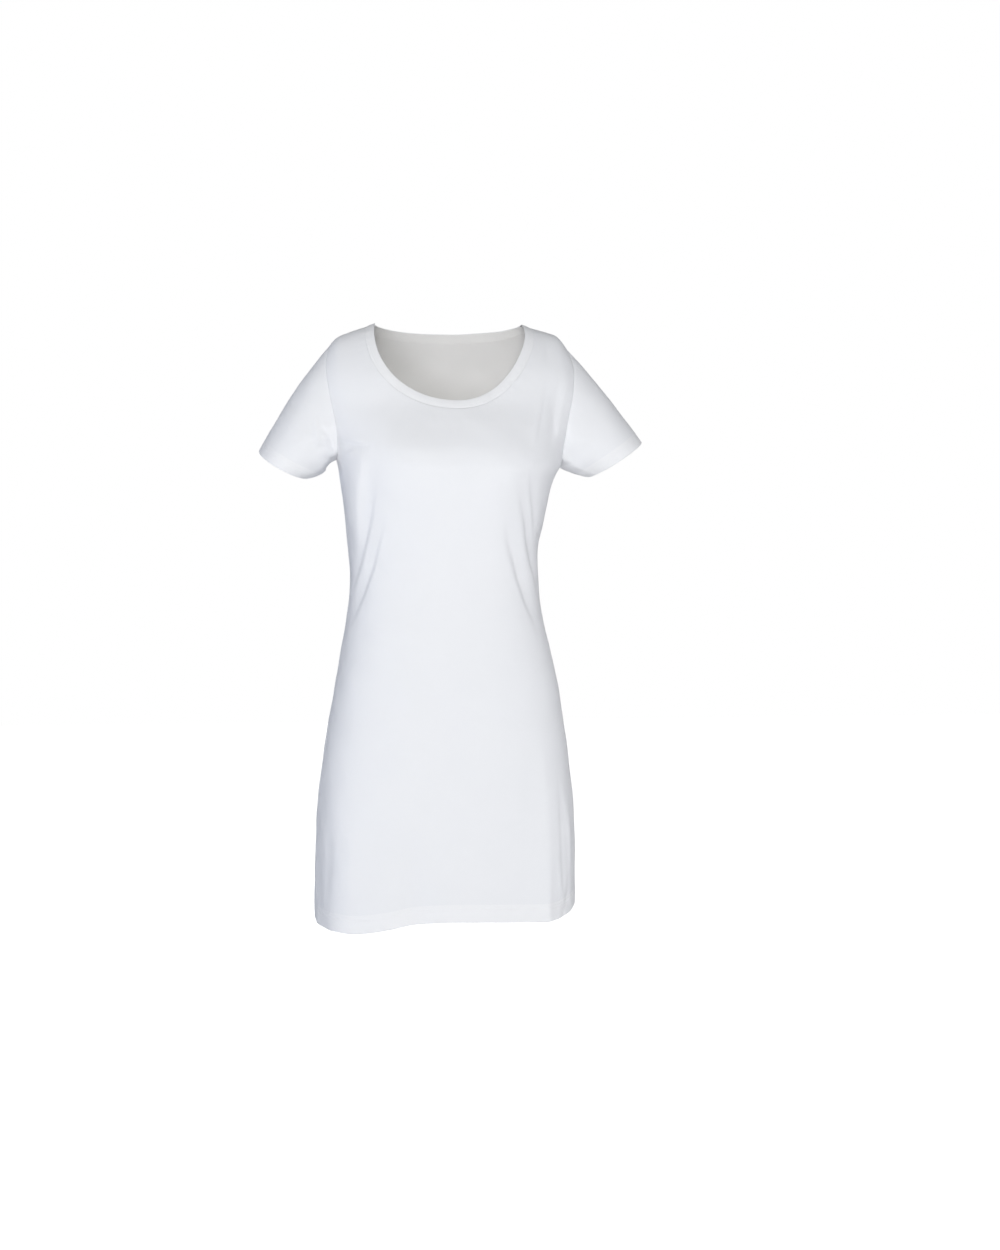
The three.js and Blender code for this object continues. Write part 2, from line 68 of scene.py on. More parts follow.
# The studio: a dim even surround, a soft light above the camera, a lower one that reaches into the
# neck, one at each side and one behind, and a pale floor that runs out to white.
SURROUND = (0.196, 0.20, 0.21)
BACKGROUND = (1.0, 1.0, 1.0)
FLOOR_HEIGHT = -1.42
FLOOR_HALF = 9.0
FLOOR_COLOUR = (0.90, 0.90, 0.895)
FLOOR_GLOW = 0.92
DRESS_MIDDLE = (0, 0, -0.42)
LAMP_SIZE = 1.3


def node_of(tree, kind, **settings):
    """A new node of that kind, with the settings given as its own properties."""
    node = tree.nodes.new(kind)
    for name, value in settings.items():
        setattr(node, name, value)
    return node


def feed(tree, socket, value):
    """Links a socket to another one, or sets it to a number or a colour."""
    if isinstance(value, bpy.types.NodeSocket):
        tree.links.new(value, socket)
    else:
        socket.default_value = (*value, 1) if isinstance(value, tuple) else value


def math_of(tree, operation, *values):
    """A Math node's output for that operation on sockets or numbers."""
    node = node_of(tree, "ShaderNodeMath", operation=operation)
    for socket, value in zip(node.inputs, values):
        feed(tree, socket, value)
    return node.outputs[0]


def mixed(tree, share, first, second, blend="MIX"):
    """The colour that a share of the second one makes on the first."""
    node = node_of(tree, "ShaderNodeMix", data_type="RGBA", blend_type=blend)
    for number, value in ((0, share), (6, first), (7, second)):
        feed(tree, node.inputs[number], value)
    return node.outputs[2]


def soft_light(name, place, power, colour):
    """A square lamp, turned to face the middle of the dress."""
    lamp = bpy.data.lights.new(name, "AREA")
    lamp.size, lamp.energy, lamp.color = LAMP_SIZE, power, colour
    light = bpy.data.objects.new(name, lamp)
    light.location = place
    aim = light.location.copy()
    aim[:] = [place[k] - DRESS_MIDDLE[k] for k in range(3)]
    light.rotation_euler = aim.to_track_quat("Z", "Y").to_euler()
    light.visible_camera = False
    scene.collection.objects.link(light)


soft_light("high_light", (-0.35, -3.3, 0.7), 53, (1.0, 1.0, 0.975))
soft_light("neck_light", (-1.4, -3.0, -0.3), 27, (0.94, 0.95, 1.0))
soft_light("left_light", (3.2, -0.7, -1.1), 29, (0.95, 0.95, 1.0))
soft_light("right_light", (-3.3, 0.1, -1.1), 13, (0.44, 0.60, 1.0))
soft_light("back_light", (0.8, 3.2, 0.6), 30, (1.0, 1.0, 1.0))

world = bpy.data.worlds.new("surround")
world.use_nodes = True
surround = world.node_tree
seen = node_of(surround, "ShaderNodeLightPath").outputs["Is Camera Ray"]
feed(surround, surround.nodes["Background"].inputs["Color"], mixed(surround, seen, SURROUND, BACKGROUND))
scene.world = world

floor_mesh = bpy.data.meshes.new("floor")
floor_corners = np.array([(-1, -1), (1, -1), (1, 1), (-1, 1)]) * FLOOR_HALF
floor_mesh.from_pydata([(x, y, FLOOR_HEIGHT) for x, y in floor_corners], [], [(0, 1, 2, 3)])
floor_finish = bpy.data.materials.new("pale_floor")
floor_finish.use_nodes = True
floor_nodes = floor_finish.node_tree
floor_shader = floor_nodes.nodes["Principled BSDF"]
floor_shader.inputs["Base Color"].default_value = (*FLOOR_COLOUR, 1)
floor_shader.inputs["Roughness"].default_value = 0.9
floor_shader.inputs["Emission Color"].default_value = (1, 1, 1, 1)
seen = node_of(floor_nodes, "ShaderNodeLightPath").outputs["Is Camera Ray"]
glow = math_of(floor_nodes, "MULTIPLY", seen, FLOOR_GLOW)
floor_nodes.links.new(glow, floor_shader.inputs["Emission Strength"])
floor_mesh.materials.append(floor_finish)
floor = bpy.data.objects.new("floor", floor_mesh)
scene.collection.objects.link(floor)


# The front panel: one piece of white single jersey from shoulder seams and scooped neckline down to
# a hem turned up and sewn with two rows of stitches. It is sewn to the back at sides and shoulders,
# and hangs hollow from the shoulders. Shapes are worked out in millimetres; +x is the wearer's left.
FRONT, BACK = -1, 1
RIGHT, LEFT = -1, 1
MILLIMETRE = 0.001

CLOTH = 1.1
TURNED_CLOTH = 2.2
HEM_TURN = 24
HEM_ROWS = (17, 22)
HEM_LEVEL = 870
HALF_GIRTH = 235
NECK_HALF = 108
SHOULDER_SLOPE = (math.tan(math.radians(19)), math.tan(math.radians(14.5)))
SHOULDER_CORNER = (165, 161)
SLEEVE_SLOPE = math.tan(math.radians(55))
CORNER_SOFTNESS = 2.8
SHOULDER_TIP = 175
SHOULDER_ROUND = 95
SHOULDER_CLEAR = 0.5
ARMHOLE_ROWS = 13
ARMPIT_DROP = {RIGHT: 198, LEFT: 207}
ARMPIT_CROWDING = 0.5
ARM_MIDDLE = (140, 0, -112)
NECK_SEAM = {"half": 125, "shoulder": 4.1, FRONT: 126.5, BACK: 22}
NECK_EDGE = {"half": 113, "shoulder": -1, FRONT: 115, BACK: 10}
NECK_NARROWING, NARROWING_FADE = 5, 8
NECK_SWING, SWING_LEAN = -5, 1.5
NECK_FULLNESS = 0.93
NECK_CURVE = {FRONT: 1.08, BACK: 1.3}
NECK_CORNER = {FRONT: math.radians(45), BACK: math.radians(42)}
NECK_DEPTH = {FRONT: 84, BACK: 54}
NECK_ASIDE, NECK_UP = 0.25, 0.5
ROWS_BELOW_NECK = {FRONT: 6, BACK: 9}
FOOT_SHARE = 6 / 28


def table(names, rows):
    """Rows of numbers as one array for each column name."""
    return dict(zip(names.split(), np.array(rows, float).T))


# Half widths on the wearer's right and left, and depths before and behind the side seams, at each
# drop below the neck. Square is how square the section is: 2 is an ellipse.
BODY = table("drop right left front back square", [
    (-5, 236, 236, 59, 51, 2.6),
    (30, 225, 225, 63, 62, 2.6),
    (65, 214, 214, 70, 73, 2.6),
    (115, 194, 194, 84, 88, 2.6),
    (150, 180, 180, 102.5, 95, 2.55),
    (182, 168, 168, 116.5, 97, 2.55),
    (205, 161, 163, 120, 98, 2.6),
    (220, 158.5, 155, 120, 97, 2.6),
    (240, 156, 148, 119, 94, 2.6),
    (290, 149, 138, 109, 86, 2.6),
    (320, 146, 131, 104, 82, 2.6),
    (365, 143, 130.5, 99, 78, 2.6),
    (400, 144.5, 132, 100, 83, 2.65),
    (450, 152, 142, 104, 95, 2.65),
    (520, 164, 158, 110, 110, 2.7),
    (562, 171, 165, 112, 118, 2.7),
    (603, 178, 171, 113, 120, 2.7),
    (690, 189.5, 179.5, 115, 117, 2.7),
    (780, 193, 182, 116, 114, 2.7),
    (890, 193.5, 181, 118, 114, 2.6),
])
ARMHOLE = table("drop reach", [
    (34, 175), (45, 178), (65, 180.5), (100, 177), (130, 171), (150, 167), (180, 163.5), (200, 162),
])
HEM = table("across front back", [
    (-195, 866, 866),
    (-165, 866, 866),
    (-150, 867, 866),
    (-130, 865, 865),
    (-90, 858, 862),
    (-60, 852, 860),
    (-20, 848.5, 858),
    (20, 849.5, 856),
    (100, 853, 850),
    (135, 853, 846),
    (160, 848, 842),
    (185, 836, 836),
])
BUST = table("across drop wide tall rise", [
    (-86, 212, 50, 42, 6.5),
    (88, 214, 50, 42, 6.5),
    (0, 216, 90, 44, 3),
])

# The large folds, by their two ends. Across is measured round the cloth from the centre front, with
# the side seams at HALF_GIRTH each way. Bow is how far the middle strays towards the wearer's left,
# wide is that flank's width and sharp the other flank's share of it. Rise below nothing is a trough.
FOLDS = table("across1 drop1 across2 drop2 bow wide sharp rise", [
    (-106, 222, -216, 394, 16, 6, 2.6, -3.2),
    (-91, 270, -204, 446, 9, 7, 2.6, -3.5),
    (-119, 150, -177, 335, 4, 12, 4.2, 6),
    (70, 220, 190, 400, -2, 16, 0.4, -3.2),
    (92, 210, 156, 312, 0, 12, 0.4, -2.2),
    (60, 270, 150, 452, 2, 20, 0.45, -4),
    (86, 74, 92, 184, 0, 5, 1.8, 2.2),
    (113, 68, 138, 188, 0, 6, 2.6, -4),
    (0, 700, 0, 1060, 0, 16, 1, 5.5),
    (-36, 690, -36, 1060, 0, 16, 1, -5.5),
    (-120, 620, -130, 1060, 0, 38, 1, 4),
    (-212, 600, -206, 1080, 0, 46, 0.6, -4.5),
    (84, 690, 86, 1060, 0, 16, 1, 2.5),
    (110, 560, 91, 1100, 0, 82, 0.22, 10.5),
    (96, 730, 92, 1000, 0, 9, 1.6, 1.6),
    (275, 650, 268, 1060, 0, 18, 1, 4),
    (330, 560, 345, 1060, 0, 26, 1, -5),
    (400, 600, 395, 1060, 0, 26, 1, 5),
    (-285, 640, -275, 1060, 0, 18, 1, 4.5),
    (-340, 600, -360, 1060, 0, 24, 1, -5),
    (-410, 560, -398, 1060, 0, 28, 1, 4),
    (-300, 330, -420, 352, 0, 12, 1, -4),
    (300, 372, 430, 350, 0, 13, 1, -4.5),
    (-440, 415, -640, 430, 0, 13, 1, -3.5),
    (270, 235, 330, 340, 0, 13, 1, -3),
    (-265, 240, -325, 325, 0, 13, 1, -3),
])

# Finer creases, by their two ends as seen from the front. Bow, wide, sharp and rise are as for the
# folds, and on a level crease that runs towards the wearer's left, wide is the upper flank.
CREASES = {
    FRONT: table("x1 drop1 x2 drop2 bow wide sharp rise", [
        (-164, 177, -122, 182, 1, 2.6, 5, -3.4),
        (-158, 196, -140, 184, 0, 4, 1, 1.2),
        (-196, 134, -193, 184, 0, 4, 1.2, 1.8),
        (-190, 150, -168, 180, 1, 4.5, 1, -1.8),
        (-179, 166, -166, 192, 0, 3.5, 1, -1.5),
        (145, 130, 147, 176, 0, 3, 1, -0.9),
        (154, 655, 168, 790, 2, 5, 0.7, 1.2),
        (146, 760, 160, 850, -2, 4, 0.8, 1.0),
        (168, 780, 150, 868, 2, 5, 0.7, -1.2),
        (3, 536, 48, 567, 2, 7, 0.7, -0.8),
        (-12, 552, 28, 585, 2, 8, 0.8, -0.5),
        (-138, 350, -62, 372, 3, 9, 0.7, -0.8),
        (128, 344, 66, 384, -3, 9, 0.7, -0.8),
        (-92, 494, -62, 566, 5, 12, 0.7, 0.8),
        (-178, 690, -184, 880, 2, 5, 0.6, -1.0),
        (-150, 720, -158, 880, 2, 9, 0.7, 0.8),
        (148, 640, 154, 880, 2, 5, 0.6, -1.0),
        (163, 660, 167, 880, 1, 4, 0.6, 0.9),
        (60, 640, 84, 800, 5, 14, 0.7, -0.8),
        (-146, 70, -132, 150, -3, 12, 0.7, -0.7),
        (139, 20, 137, 70, 1, 7, 0.8, -0.9),
        (-68, 112, -98, 150, 2, 9, 0.8, -0.5),
        (66, 116, 92, 158, -2, 9, 0.8, -0.5),
        (4, 124, 12, 160, 0, 8, 0.9, -0.4),
    ]),
    BACK: table("x1 drop1 x2 drop2 bow wide sharp rise", [
        (-150, 168, -104, 214, 4, 8, 0.7, -1.2),
        (-158, 196, -116, 272, 4, 8, 0.6, -1.1),
        (152, 172, 108, 210, -4, 8, 0.7, -1.2),
        (158, 204, 120, 280, -4, 8, 0.6, -1.1),
        (-96, 342, 10, 356, 4, 9, 0.6, -1.2),
        (14, 372, 104, 360, -4, 9, 0.6, -1.1),
        (-88, 400, -6, 412, 3, 8, 0.7, -0.9),
        (-128, 318, -60, 338, 3, 8, 0.7, 0.8),
        (60, 322, 124, 306, 3, 8, 0.7, -0.9),
        (-20, 70, -8, 170, 3, 16, 0.8, -0.7),
        (52, 60, 70, 150, 3, 14, 0.8, -0.6),
        (-40, 560, -62, 760, 6, 14, 0.7, -1.1),
        (58, 590, 66, 800, 5, 13, 0.7, 1.0),
        (-128, 650, -138, 880, 3, 7, 0.6, -1.1),
        (132, 640, 140, 880, -3, 7, 0.6, -1.0),
    ]),
}
FOLD_SWELL, CREASE_SWELL = 1.5, 1.2
RIPPLE = 0.28
RIPPLE_WAVES = 9
RIPPLE_LONG, RIPPLE_SHORT = 120, 34
RIPPLE_UPRIGHT = 0.6
RIPPLE_BEND = 0.6
RIPPLE_SEED = 11

SIDE_SEAM_DEPTH, SHOULDER_SEAM_DEPTH, ARMHOLE_SEAM_DEPTH = 0.5, 0.5, 0.22
NECK_SEAM_DEPTH = 0.15
VALLEY_WIDE = 1.5
PUCKER_DEPTH, PUCKER_REACH, PUCKER_LENGTH = 0.30, 7, 11
PUCKER_STRAYS = ((0.7, 23), (0.4, 9.7))
PUCKER_FADE, PUCKER_FADE_LENGTH = 0.4, 41
ON_SEAM = 1e-3
GRADING = 8
STITCH_PRESS, STITCH_PRESS_WIDE = 0.34, 0.9
TURN_RAISE = 0.3


def curve(rows, name_from, name_to, at):
    """A smooth curve through one column of a table against another, level beyond its ends: a cubic
    between each two rows, whose slope at a row is the one between that row's neighbours."""
    x, y = rows[name_from], rows[name_to]
    number = np.arange(len(x))
    before, after = np.maximum(number - 1, 0), np.minimum(number + 1, len(x) - 1)
    slope = (y[after] - y[before]) / (x[after] - x[before])
    at = np.clip(at, x[0], x[-1])
    i = np.clip(np.searchsorted(x, at, side="right") - 1, 0, len(x) - 2)
    step, rise = x[i + 1] - x[i], y[i + 1] - y[i]
    t = (at - x[i]) / step
    first, second = slope[i] * step - rise, rise - slope[i + 1] * step
    return y[i] + t * rise + t * (1 - t) * (first * (1 - t) + second * t)


def mix(a, b, share):
    """The value a share of the way from a to b."""
    return a + (b - a) * share


def bump(distance, wide):
    """A bell curve: 1 at no distance, falling to nothing within about two widths."""
    return np.exp(-((distance / wide) ** 2))


def smooth(value):
    """0 below 0, 1 above 1, and an s-shaped rise between."""
    value = np.clip(value, 0, 1)
    return value * value * (3 - 2 * value)


def signed_power(value, power):
    """The value's size to a power, with the value's own sign."""
    return np.sign(value) * np.abs(value) ** power


def unit(ways):
    """Each direction at length one."""
    return ways / np.maximum(np.linalg.norm(ways, axis=-1, keepdims=True), 1e-12)


def graded(count, start=0.0, end=0.0):
    """Count + 1 shares from 0 to 1, whose steps are shorter near an end by the share given for it."""
    middle = (np.arange(count) + 0.5) / count
    steps = 1 - start * np.exp(-GRADING * middle) - end * np.exp(-GRADING * (1 - middle))
    return np.concatenate([[0], np.cumsum(steps) / steps.sum()])


def shoulder_height(x):
    """The shoulder line's height: an even slope from the neck that turns down into the sleeve at a
    softened corner. The left shoulder is held a little higher than the right."""
    out = np.abs(x)
    share = smooth((x + NECK_HALF) / (2 * NECK_HALF))
    slope, corner = mix(*SHOULDER_SLOPE, share), mix(*SHOULDER_CORNER, share)
    turn = CORNER_SOFTNESS * np.log1p(np.exp((out - corner) / CORNER_SOFTNESS))
    return -slope * (out - NECK_HALF) - (SLEEVE_SLOPE - slope) * turn


def parting(below):
    """How far front and back have parted at a depth below the shoulder line: a quarter circle."""
    return np.sqrt(1 - (1 - np.clip(below / SHOULDER_ROUND, 0, 1)) ** 2)


def section(z):
    """The body's section at a height: its middle, its half width and the power of its outline."""
    right, left = curve(BODY, "drop", "right", -z), curve(BODY, "drop", "left", -z)
    return (left - right) / 2, (left + right) / 2, 2 / curve(BODY, "drop", "square", -z)


def round_at(x, z):
    """Where a point lies round the section, from -1 at the right side seam to 1 at the left."""
    middle, half, power = section(z)
    share = np.clip((x - middle) / half, -1, 1)
    return np.arcsin(signed_power(share, 1 / power)) / (np.pi / 2)


def fold(across, drop, swell, across1, drop1, across2, drop2, bow, wide, sharp, rise):
    """How far one fold lifts the cloth: a bell across a bowed line between its two ends, steeper on
    one flank, that swells from nothing at both ends."""
    run, fall = across2 - across1, drop2 - drop1
    length = math.hypot(run, fall)
    x, y = across - across1, drop - drop1
    along = (x * run + y * fall) / length**2
    end = np.clip(4 * along * (1 - along), 0, 1)
    off = (x * fall - y * run) / length - bow * end
    return rise * end**swell * bump(off, np.where(off > 0, wide, wide * sharp))


def fold_rise(around, drop):
    """How far the large folds lift the cloth. The way round is four half girths long."""
    girth = 4 * HALF_GIRTH
    rows = zip(*FOLDS.values())
    return sum(fold(around + turn, drop, FOLD_SWELL, *row) for row in rows for turn in (-girth, 0, girth))


def body_point(face, around, z):
    """A point of the panels' outer face. Around runs from side seam to side seam on a squared oval,
    the bust and the parting below the shoulders set its depth, and the folds move it outwards."""
    around, z = np.broadcast_arrays(np.asarray(around, float), np.asarray(z, float))
    middle, half, power = section(z)
    angle = around * np.pi / 2
    x = middle + half * signed_power(np.sin(angle), power)
    depth = curve(BODY, "drop", "front" if face == FRONT else "back", -z)
    out = depth * np.abs(np.cos(angle)) ** power
    if face == FRONT:
        for across, drop, wide, tall, rise in zip(*BUST.values()):
            out = out + rise * bump(x - across, wide) * bump(z + drop, tall)
    y = face * out * parting(shoulder_height(x) - z)
    over = around if face == FRONT else np.where(around < 0, -1, 1) * (2 - np.abs(around))
    lift = fold_rise(over * HALF_GIRTH, -z)
    reach = np.maximum(np.hypot(x - middle, y), 1e-9)
    return np.stack([x + (x - middle) / reach * lift, y + y / reach * lift, z], -1)


def body_at(face, x, z):
    """The panels' outer face at a place in the front view."""
    return body_point(face, round_at(x, z), z)


def neck_place(loop, face, turn):
    """A place on a loop of the neckline in the front view: a rounded arc, with turn 0 on the left
    shoulder and half a turn on the right."""
    sine = np.sin(turn)
    narrowing = NECK_NARROWING * (1 - sine) ** NARROWING_FADE if face == FRONT else NECK_NARROWING
    swing = NECK_SWING * np.sin(np.pi * np.abs(sine) ** SWING_LEAN) if face == FRONT else 0
    x = (loop["half"] - narrowing) * signed_power(np.cos(turn), NECK_FULLNESS) + swing
    return x, -(loop["shoulder"] + (loop[face] - loop["shoulder"]) * np.abs(sine) ** NECK_CURVE[face])


def rise_share(row):
    """A row's share of the way from armpit to shoulder, rows crowding towards both."""
    sine = np.sin(row / ARMHOLE_ROWS * np.pi / 2)
    return mix(sine, sine**2, ARMPIT_CROWDING)


def armhole_place(side, row):
    """Where the armhole seam lies round the section, and its height, at rows that run from 0 at the
    armpit to ARMHOLE_ROWS at the shoulder. In the first row it leaves the side seam evenly."""
    tip = shoulder_height(side * SHOULDER_TIP)
    z = mix(-ARMPIT_DROP[side], tip, rise_share(row))
    first = mix(-ARMPIT_DROP[side], tip, rise_share(1))
    start = round_at(side * curve(ARMHOLE, "drop", "reach", -first), first)
    x = side * curve(ARMHOLE, "drop", "reach", -z)
    z = under_shoulder(x, z, row)
    return np.where(row < 1, mix(side, start, row), round_at(x, z)), z


def under_shoulder(x, z, row):
    """A height kept just below the shoulder line, by a little more with each row from the top."""
    return np.minimum(z, shoulder_height(x) - SHOULDER_CLEAR * (ARMHOLE_ROWS - row))


def armhole(face, side, row):
    """The armhole seam's points at the given rows."""
    points = body_point(face, *armhole_place(side, row))
    points[row == 0] = body_point(FRONT, side, -ARMPIT_DROP[side])
    points[row == ARMHOLE_ROWS] = (side * SHOULDER_TIP, 0, shoulder_height(side * SHOULDER_TIP))
    return points


def shoulder_seam(side, share):
    """The shoulder seam, from the tip at share 0 to the neckline at share 1."""
    x = side * mix(SHOULDER_TIP, NECK_SEAM["half"] - NECK_NARROWING, share)
    return np.stack([x, 0 * x, shoulder_height(x)], -1)


def skirt_heights(side):
    """The rows' heights at a side seam, from the hem to the armpit: close together in the turn-up."""
    width = curve(BODY, "drop", "right" if side == RIGHT else "left", HEM_LEVEL)
    hem = -curve(HEM, "across", "front", side * width)
    rest = graded(SKIRT_ROWS, start=0.6) * (-ARMPIT_DROP[side] - hem - TURN_ROWS[-1])
    return hem + np.concatenate([TURN_ROWS, TURN_ROWS[-1] + rest[1:]])


def side_seam(side):
    """The side seam's points from hem to armpit."""
    return body_point(FRONT, side, skirt_heights(side))


def blend_grid(bottom, top, right, left, s, t):
    """A grid between four edges: the blend of each two facing edges, less the corners' blend."""
    s, t = s[None, :, None], t[:, None, None]
    upright, level = mix(bottom[None], top[None], t), mix(right[:, None], left[:, None], s)
    corners = mix(mix(bottom[0], top[0], t), mix(bottom[-1], top[-1], t), s)
    return upright + level - corners


TURN_ROWS = np.arange(0, 31.0)
SKIRT_ROWS = 150
SHOULDER_COLUMNS, NECK_COLUMNS = 34, 88
GRID_ROWS = 6
CROWDED = 0.75
POINTS_AT_ONCE = 4000
FOOT_SHARES = graded(SHOULDER_COLUMNS, CROWDED, CROWDED)
NECK_SHARES = graded(NECK_COLUMNS)
ACROSS = np.concatenate([
    FOOT_SHARE * FOOT_SHARES,
    mix(FOOT_SHARE, 1 - FOOT_SHARE, NECK_SHARES)[1:-1],
    1 - FOOT_SHARE * FOOT_SHARES[::-1],
])


def arm_rows(face):
    """The armhole's rows below and above the neckline's corner."""
    low = ROWS_BELOW_NECK[face]
    below = low * graded(GRID_ROWS * low, start=0.4, end=CROWDED)
    return below, mix(low, ARMHOLE_ROWS, graded(GRID_ROWS * (ARMHOLE_ROWS - low), CROWDED, CROWDED))


def all_arm_rows(face):
    """The armhole's rows from armpit to shoulder."""
    below, above = arm_rows(face)
    return np.concatenate([below, above[1:]])


def neck_side_turn(face, side, rows):
    """The turn at which each row above a neckline's corner meets the neckline."""
    share = (1 - rise_share(rows)) / (1 - rise_share(ROWS_BELOW_NECK[face]))
    turn = np.arcsin(np.clip(share, 0, 1) ** (1 / NECK_CURVE[face]) * np.sin(NECK_CORNER[face]))
    return turn if side == LEFT else np.pi - turn


def panel(face):
    """A panel's three grids: whole rows from the hem up to the neckline's corners, then a block on
    each side of the neckline up to the shoulder. Also the neckline's turns."""
    below, above = arm_rows(face)
    turns = mix(np.pi - NECK_CORNER[face], NECK_CORNER[face], NECK_SHARES)
    neck = body_at(face, *neck_place(NECK_SEAM, face, turns))
    ends = {RIGHT: neck[0], LEFT: neck[-1]}
    foot, edge, seam = {}, {}, {}
    for side in (RIGHT, LEFT):
        arm = armhole(face, side, below)
        foot[side] = mix(arm[-1], ends[side], FOOT_SHARES[:, None])
        heights = skirt_heights(side)
        rounds, rise = armhole_place(side, below[1:])
        rounds = np.concatenate([np.full(len(heights), side), rounds])
        edge[side] = np.stack([rounds, np.concatenate([heights, rise])], -1)
        seam[side] = np.concatenate([side_seam(side), arm[1:]])
    rounds = mix(-1, 1, ACROSS)
    hem = -curve(HEM, "across", "front" if face == FRONT else "back",
                 body_point(face, rounds, edge[RIGHT][0, 1])[:, 0])
    bottom = np.stack([rounds, hem], -1)
    bottom[0], bottom[-1] = edge[RIGHT][0], edge[LEFT][0]
    places = np.concatenate([foot[RIGHT], neck[1:-1], foot[LEFT][::-1]])
    top = np.stack([round_at(places[:, 0], places[:, 2]), places[:, 2]], -1)
    t = (edge[RIGHT][:, 1] - edge[RIGHT][0, 1]) / (edge[RIGHT][-1, 1] - edge[RIGHT][0, 1])
    pairs = blend_grid(bottom, top, edge[RIGHT], edge[LEFT], ACROSS, t)
    lower = body_point(face, pairs[..., 0], pairs[..., 1])
    lower[:, 0], lower[:, -1] = seam[RIGHT], seam[LEFT]
    first = len(FOOT_SHARES) - 1
    lower[-1, first:first + len(neck)] = neck
    blocks = {}
    for side in (RIGHT, LEFT):
        foot_row = lower[-1, :first + 1] if side == RIGHT else lower[-1, ::-1][:first + 1]
        arm, shoulder = armhole(face, side, above), shoulder_seam(side, FOOT_SHARES)
        x, z = neck_place(NECK_SEAM, face, neck_side_turn(face, side, above))
        rim = body_at(face, x, under_shoulder(x, z, above))
        arm[0], rim[0], rim[-1] = foot_row[0], foot_row[-1], shoulder[-1]
        pair = [np.stack([p[:, 0], shoulder_height(p[:, 0]) - p[:, 2]], -1)
                for p in (foot_row, shoulder, arm, rim)]
        t = (pair[2][:, 1] - pair[2][0, 1]) / (pair[2][-1, 1] - pair[2][0, 1])
        places = blend_grid(*pair, FOOT_SHARES, t)
        x = places[..., 0]
        block = body_at(face, x, shoulder_height(x) - places[..., 1])
        block[0], block[-1], block[:, 0], block[:, -1] = foot_row, shoulder, arm, rim
        blocks[side] = block
    turns = np.concatenate([
        neck_side_turn(face, RIGHT, above)[::-1], turns[1:-1], neck_side_turn(face, LEFT, above)
    ])
    return lower, blocks, turns


def corners_of(grid, outward):
    """The four corners of each face between a grid's points, in the order that faces outwards."""
    faces = np.stack([grid[:-1, :-1], grid[:-1, 1:], grid[1:, 1:], grid[1:, :-1]], 2)
    faces = faces.reshape(-1, 4, *grid.shape[2:])
    return faces if outward else faces[:, ::-1]


def sewn(grids, outward):
    """Joins grids that share edge points. Gives the points once each, every grid's point numbers,
    and the four-cornered faces."""
    points = np.concatenate([grid.reshape(-1, 3) for grid in grids])
    _, first, number = np.unique(np.round(points, 4), axis=0, return_index=True, return_inverse=True)
    number = number.reshape(-1)
    ids, start = [], 0
    for grid in grids:
        size = grid.shape[0] * grid.shape[1]
        ids.append(number[start:start + size].reshape(grid.shape[:2]))
        start += size
    return points[first], ids, np.concatenate([corners_of(n, way) for n, way in zip(ids, outward)])


def outward_ways(points, quads):
    """The outward direction at each point: the mean of its faces' directions."""
    a, b, c, d = (points[quads[:, k]] for k in range(4))
    faces = unit(np.cross(c - a, d - b))
    ways = np.zeros_like(points)
    for k in range(4):
        np.add.at(ways, quads[:, k], faces)
    return unit(ways)


def from_line(points, line):
    """How far each point is from a line through the given points, and how far along it."""
    lengths = np.concatenate([[0], np.cumsum(np.linalg.norm(np.diff(line, axis=0), axis=1))])
    nearest = np.concatenate([
        np.argmin((line**2).sum(1) - 2 * part @ line.T, axis=1)
        for part in np.array_split(points, max(1, len(points) // POINTS_AT_ONCE))
    ])
    best, along = np.full(len(points), np.inf), np.zeros(len(points))
    for shift in (-1, 0):
        k = np.clip(nearest + shift, 0, len(line) - 2)
        way = line[k + 1] - line[k]
        t = np.clip(((points - line[k]) * way).sum(1) / (way**2).sum(1), 0, 1)
        distance = np.linalg.norm(points - line[k] - t[:, None] * way, axis=1)
        closer = distance < best
        best = np.where(closer, distance, best)
        along = np.where(closer, lengths[k] + t * (lengths[k + 1] - lengths[k]), along)
    return best, along


def crease_rise(face, points):
    """How far the finer creases lift the cloth."""
    x, drop = points[:, 0], -points[:, 2]
    return sum(fold(x, drop, CREASE_SWELL, *row) for row in zip(*CREASES[face].values()))


def ripple(points):
    """The cloth's slight unevenness: a sum of long and short waves that run all ways."""
    draw = np.random.default_rng(RIPPLE_SEED)
    rise = np.zeros(len(points))
    for wave in range(RIPPLE_WAVES):
        length = RIPPLE_LONG * (RIPPLE_SHORT / RIPPLE_LONG) ** (wave / (RIPPLE_WAVES - 1))
        way = unit(draw.normal(size=3) * (1, 1, RIPPLE_UPRIGHT))
        bend = unit(draw.normal(size=3))
        stray = np.sin(points @ bend / RIPPLE_LONG * 2 + draw.uniform(0, 6))
        phase = points @ way / length + RIPPLE_BEND * stray
        rise += np.sin(2 * np.pi * phase + draw.uniform(0, 6)) * length / RIPPLE_LONG
    return RIPPLE * rise


def seam_lines():
    """Every seam's line, with a rule that gives the cloth's outward direction on it, and its depth.
    At a crossing of seams the later one's direction holds."""
    lines = []
    for side in (RIGHT, LEFT):
        sideways = np.array([side, 0.0, 0.0])
        lines.append((side_seam(side), lambda p, way=sideways: way + 0 * p, SIDE_SEAM_DEPTH))
        lines.append((shoulder_seam(side, FOOT_SHARES), shoulder_way, SHOULDER_SEAM_DEPTH))
    for side in (RIGHT, LEFT):
        middle = np.array(ARM_MIDDLE) * (side, 1, 1)
        for face in (FRONT, BACK):
            line = armhole(face, side, all_arm_rows(face))
            lines.append((line, lambda p, middle=middle: unit(p - middle), ARMHOLE_SEAM_DEPTH))
    return lines


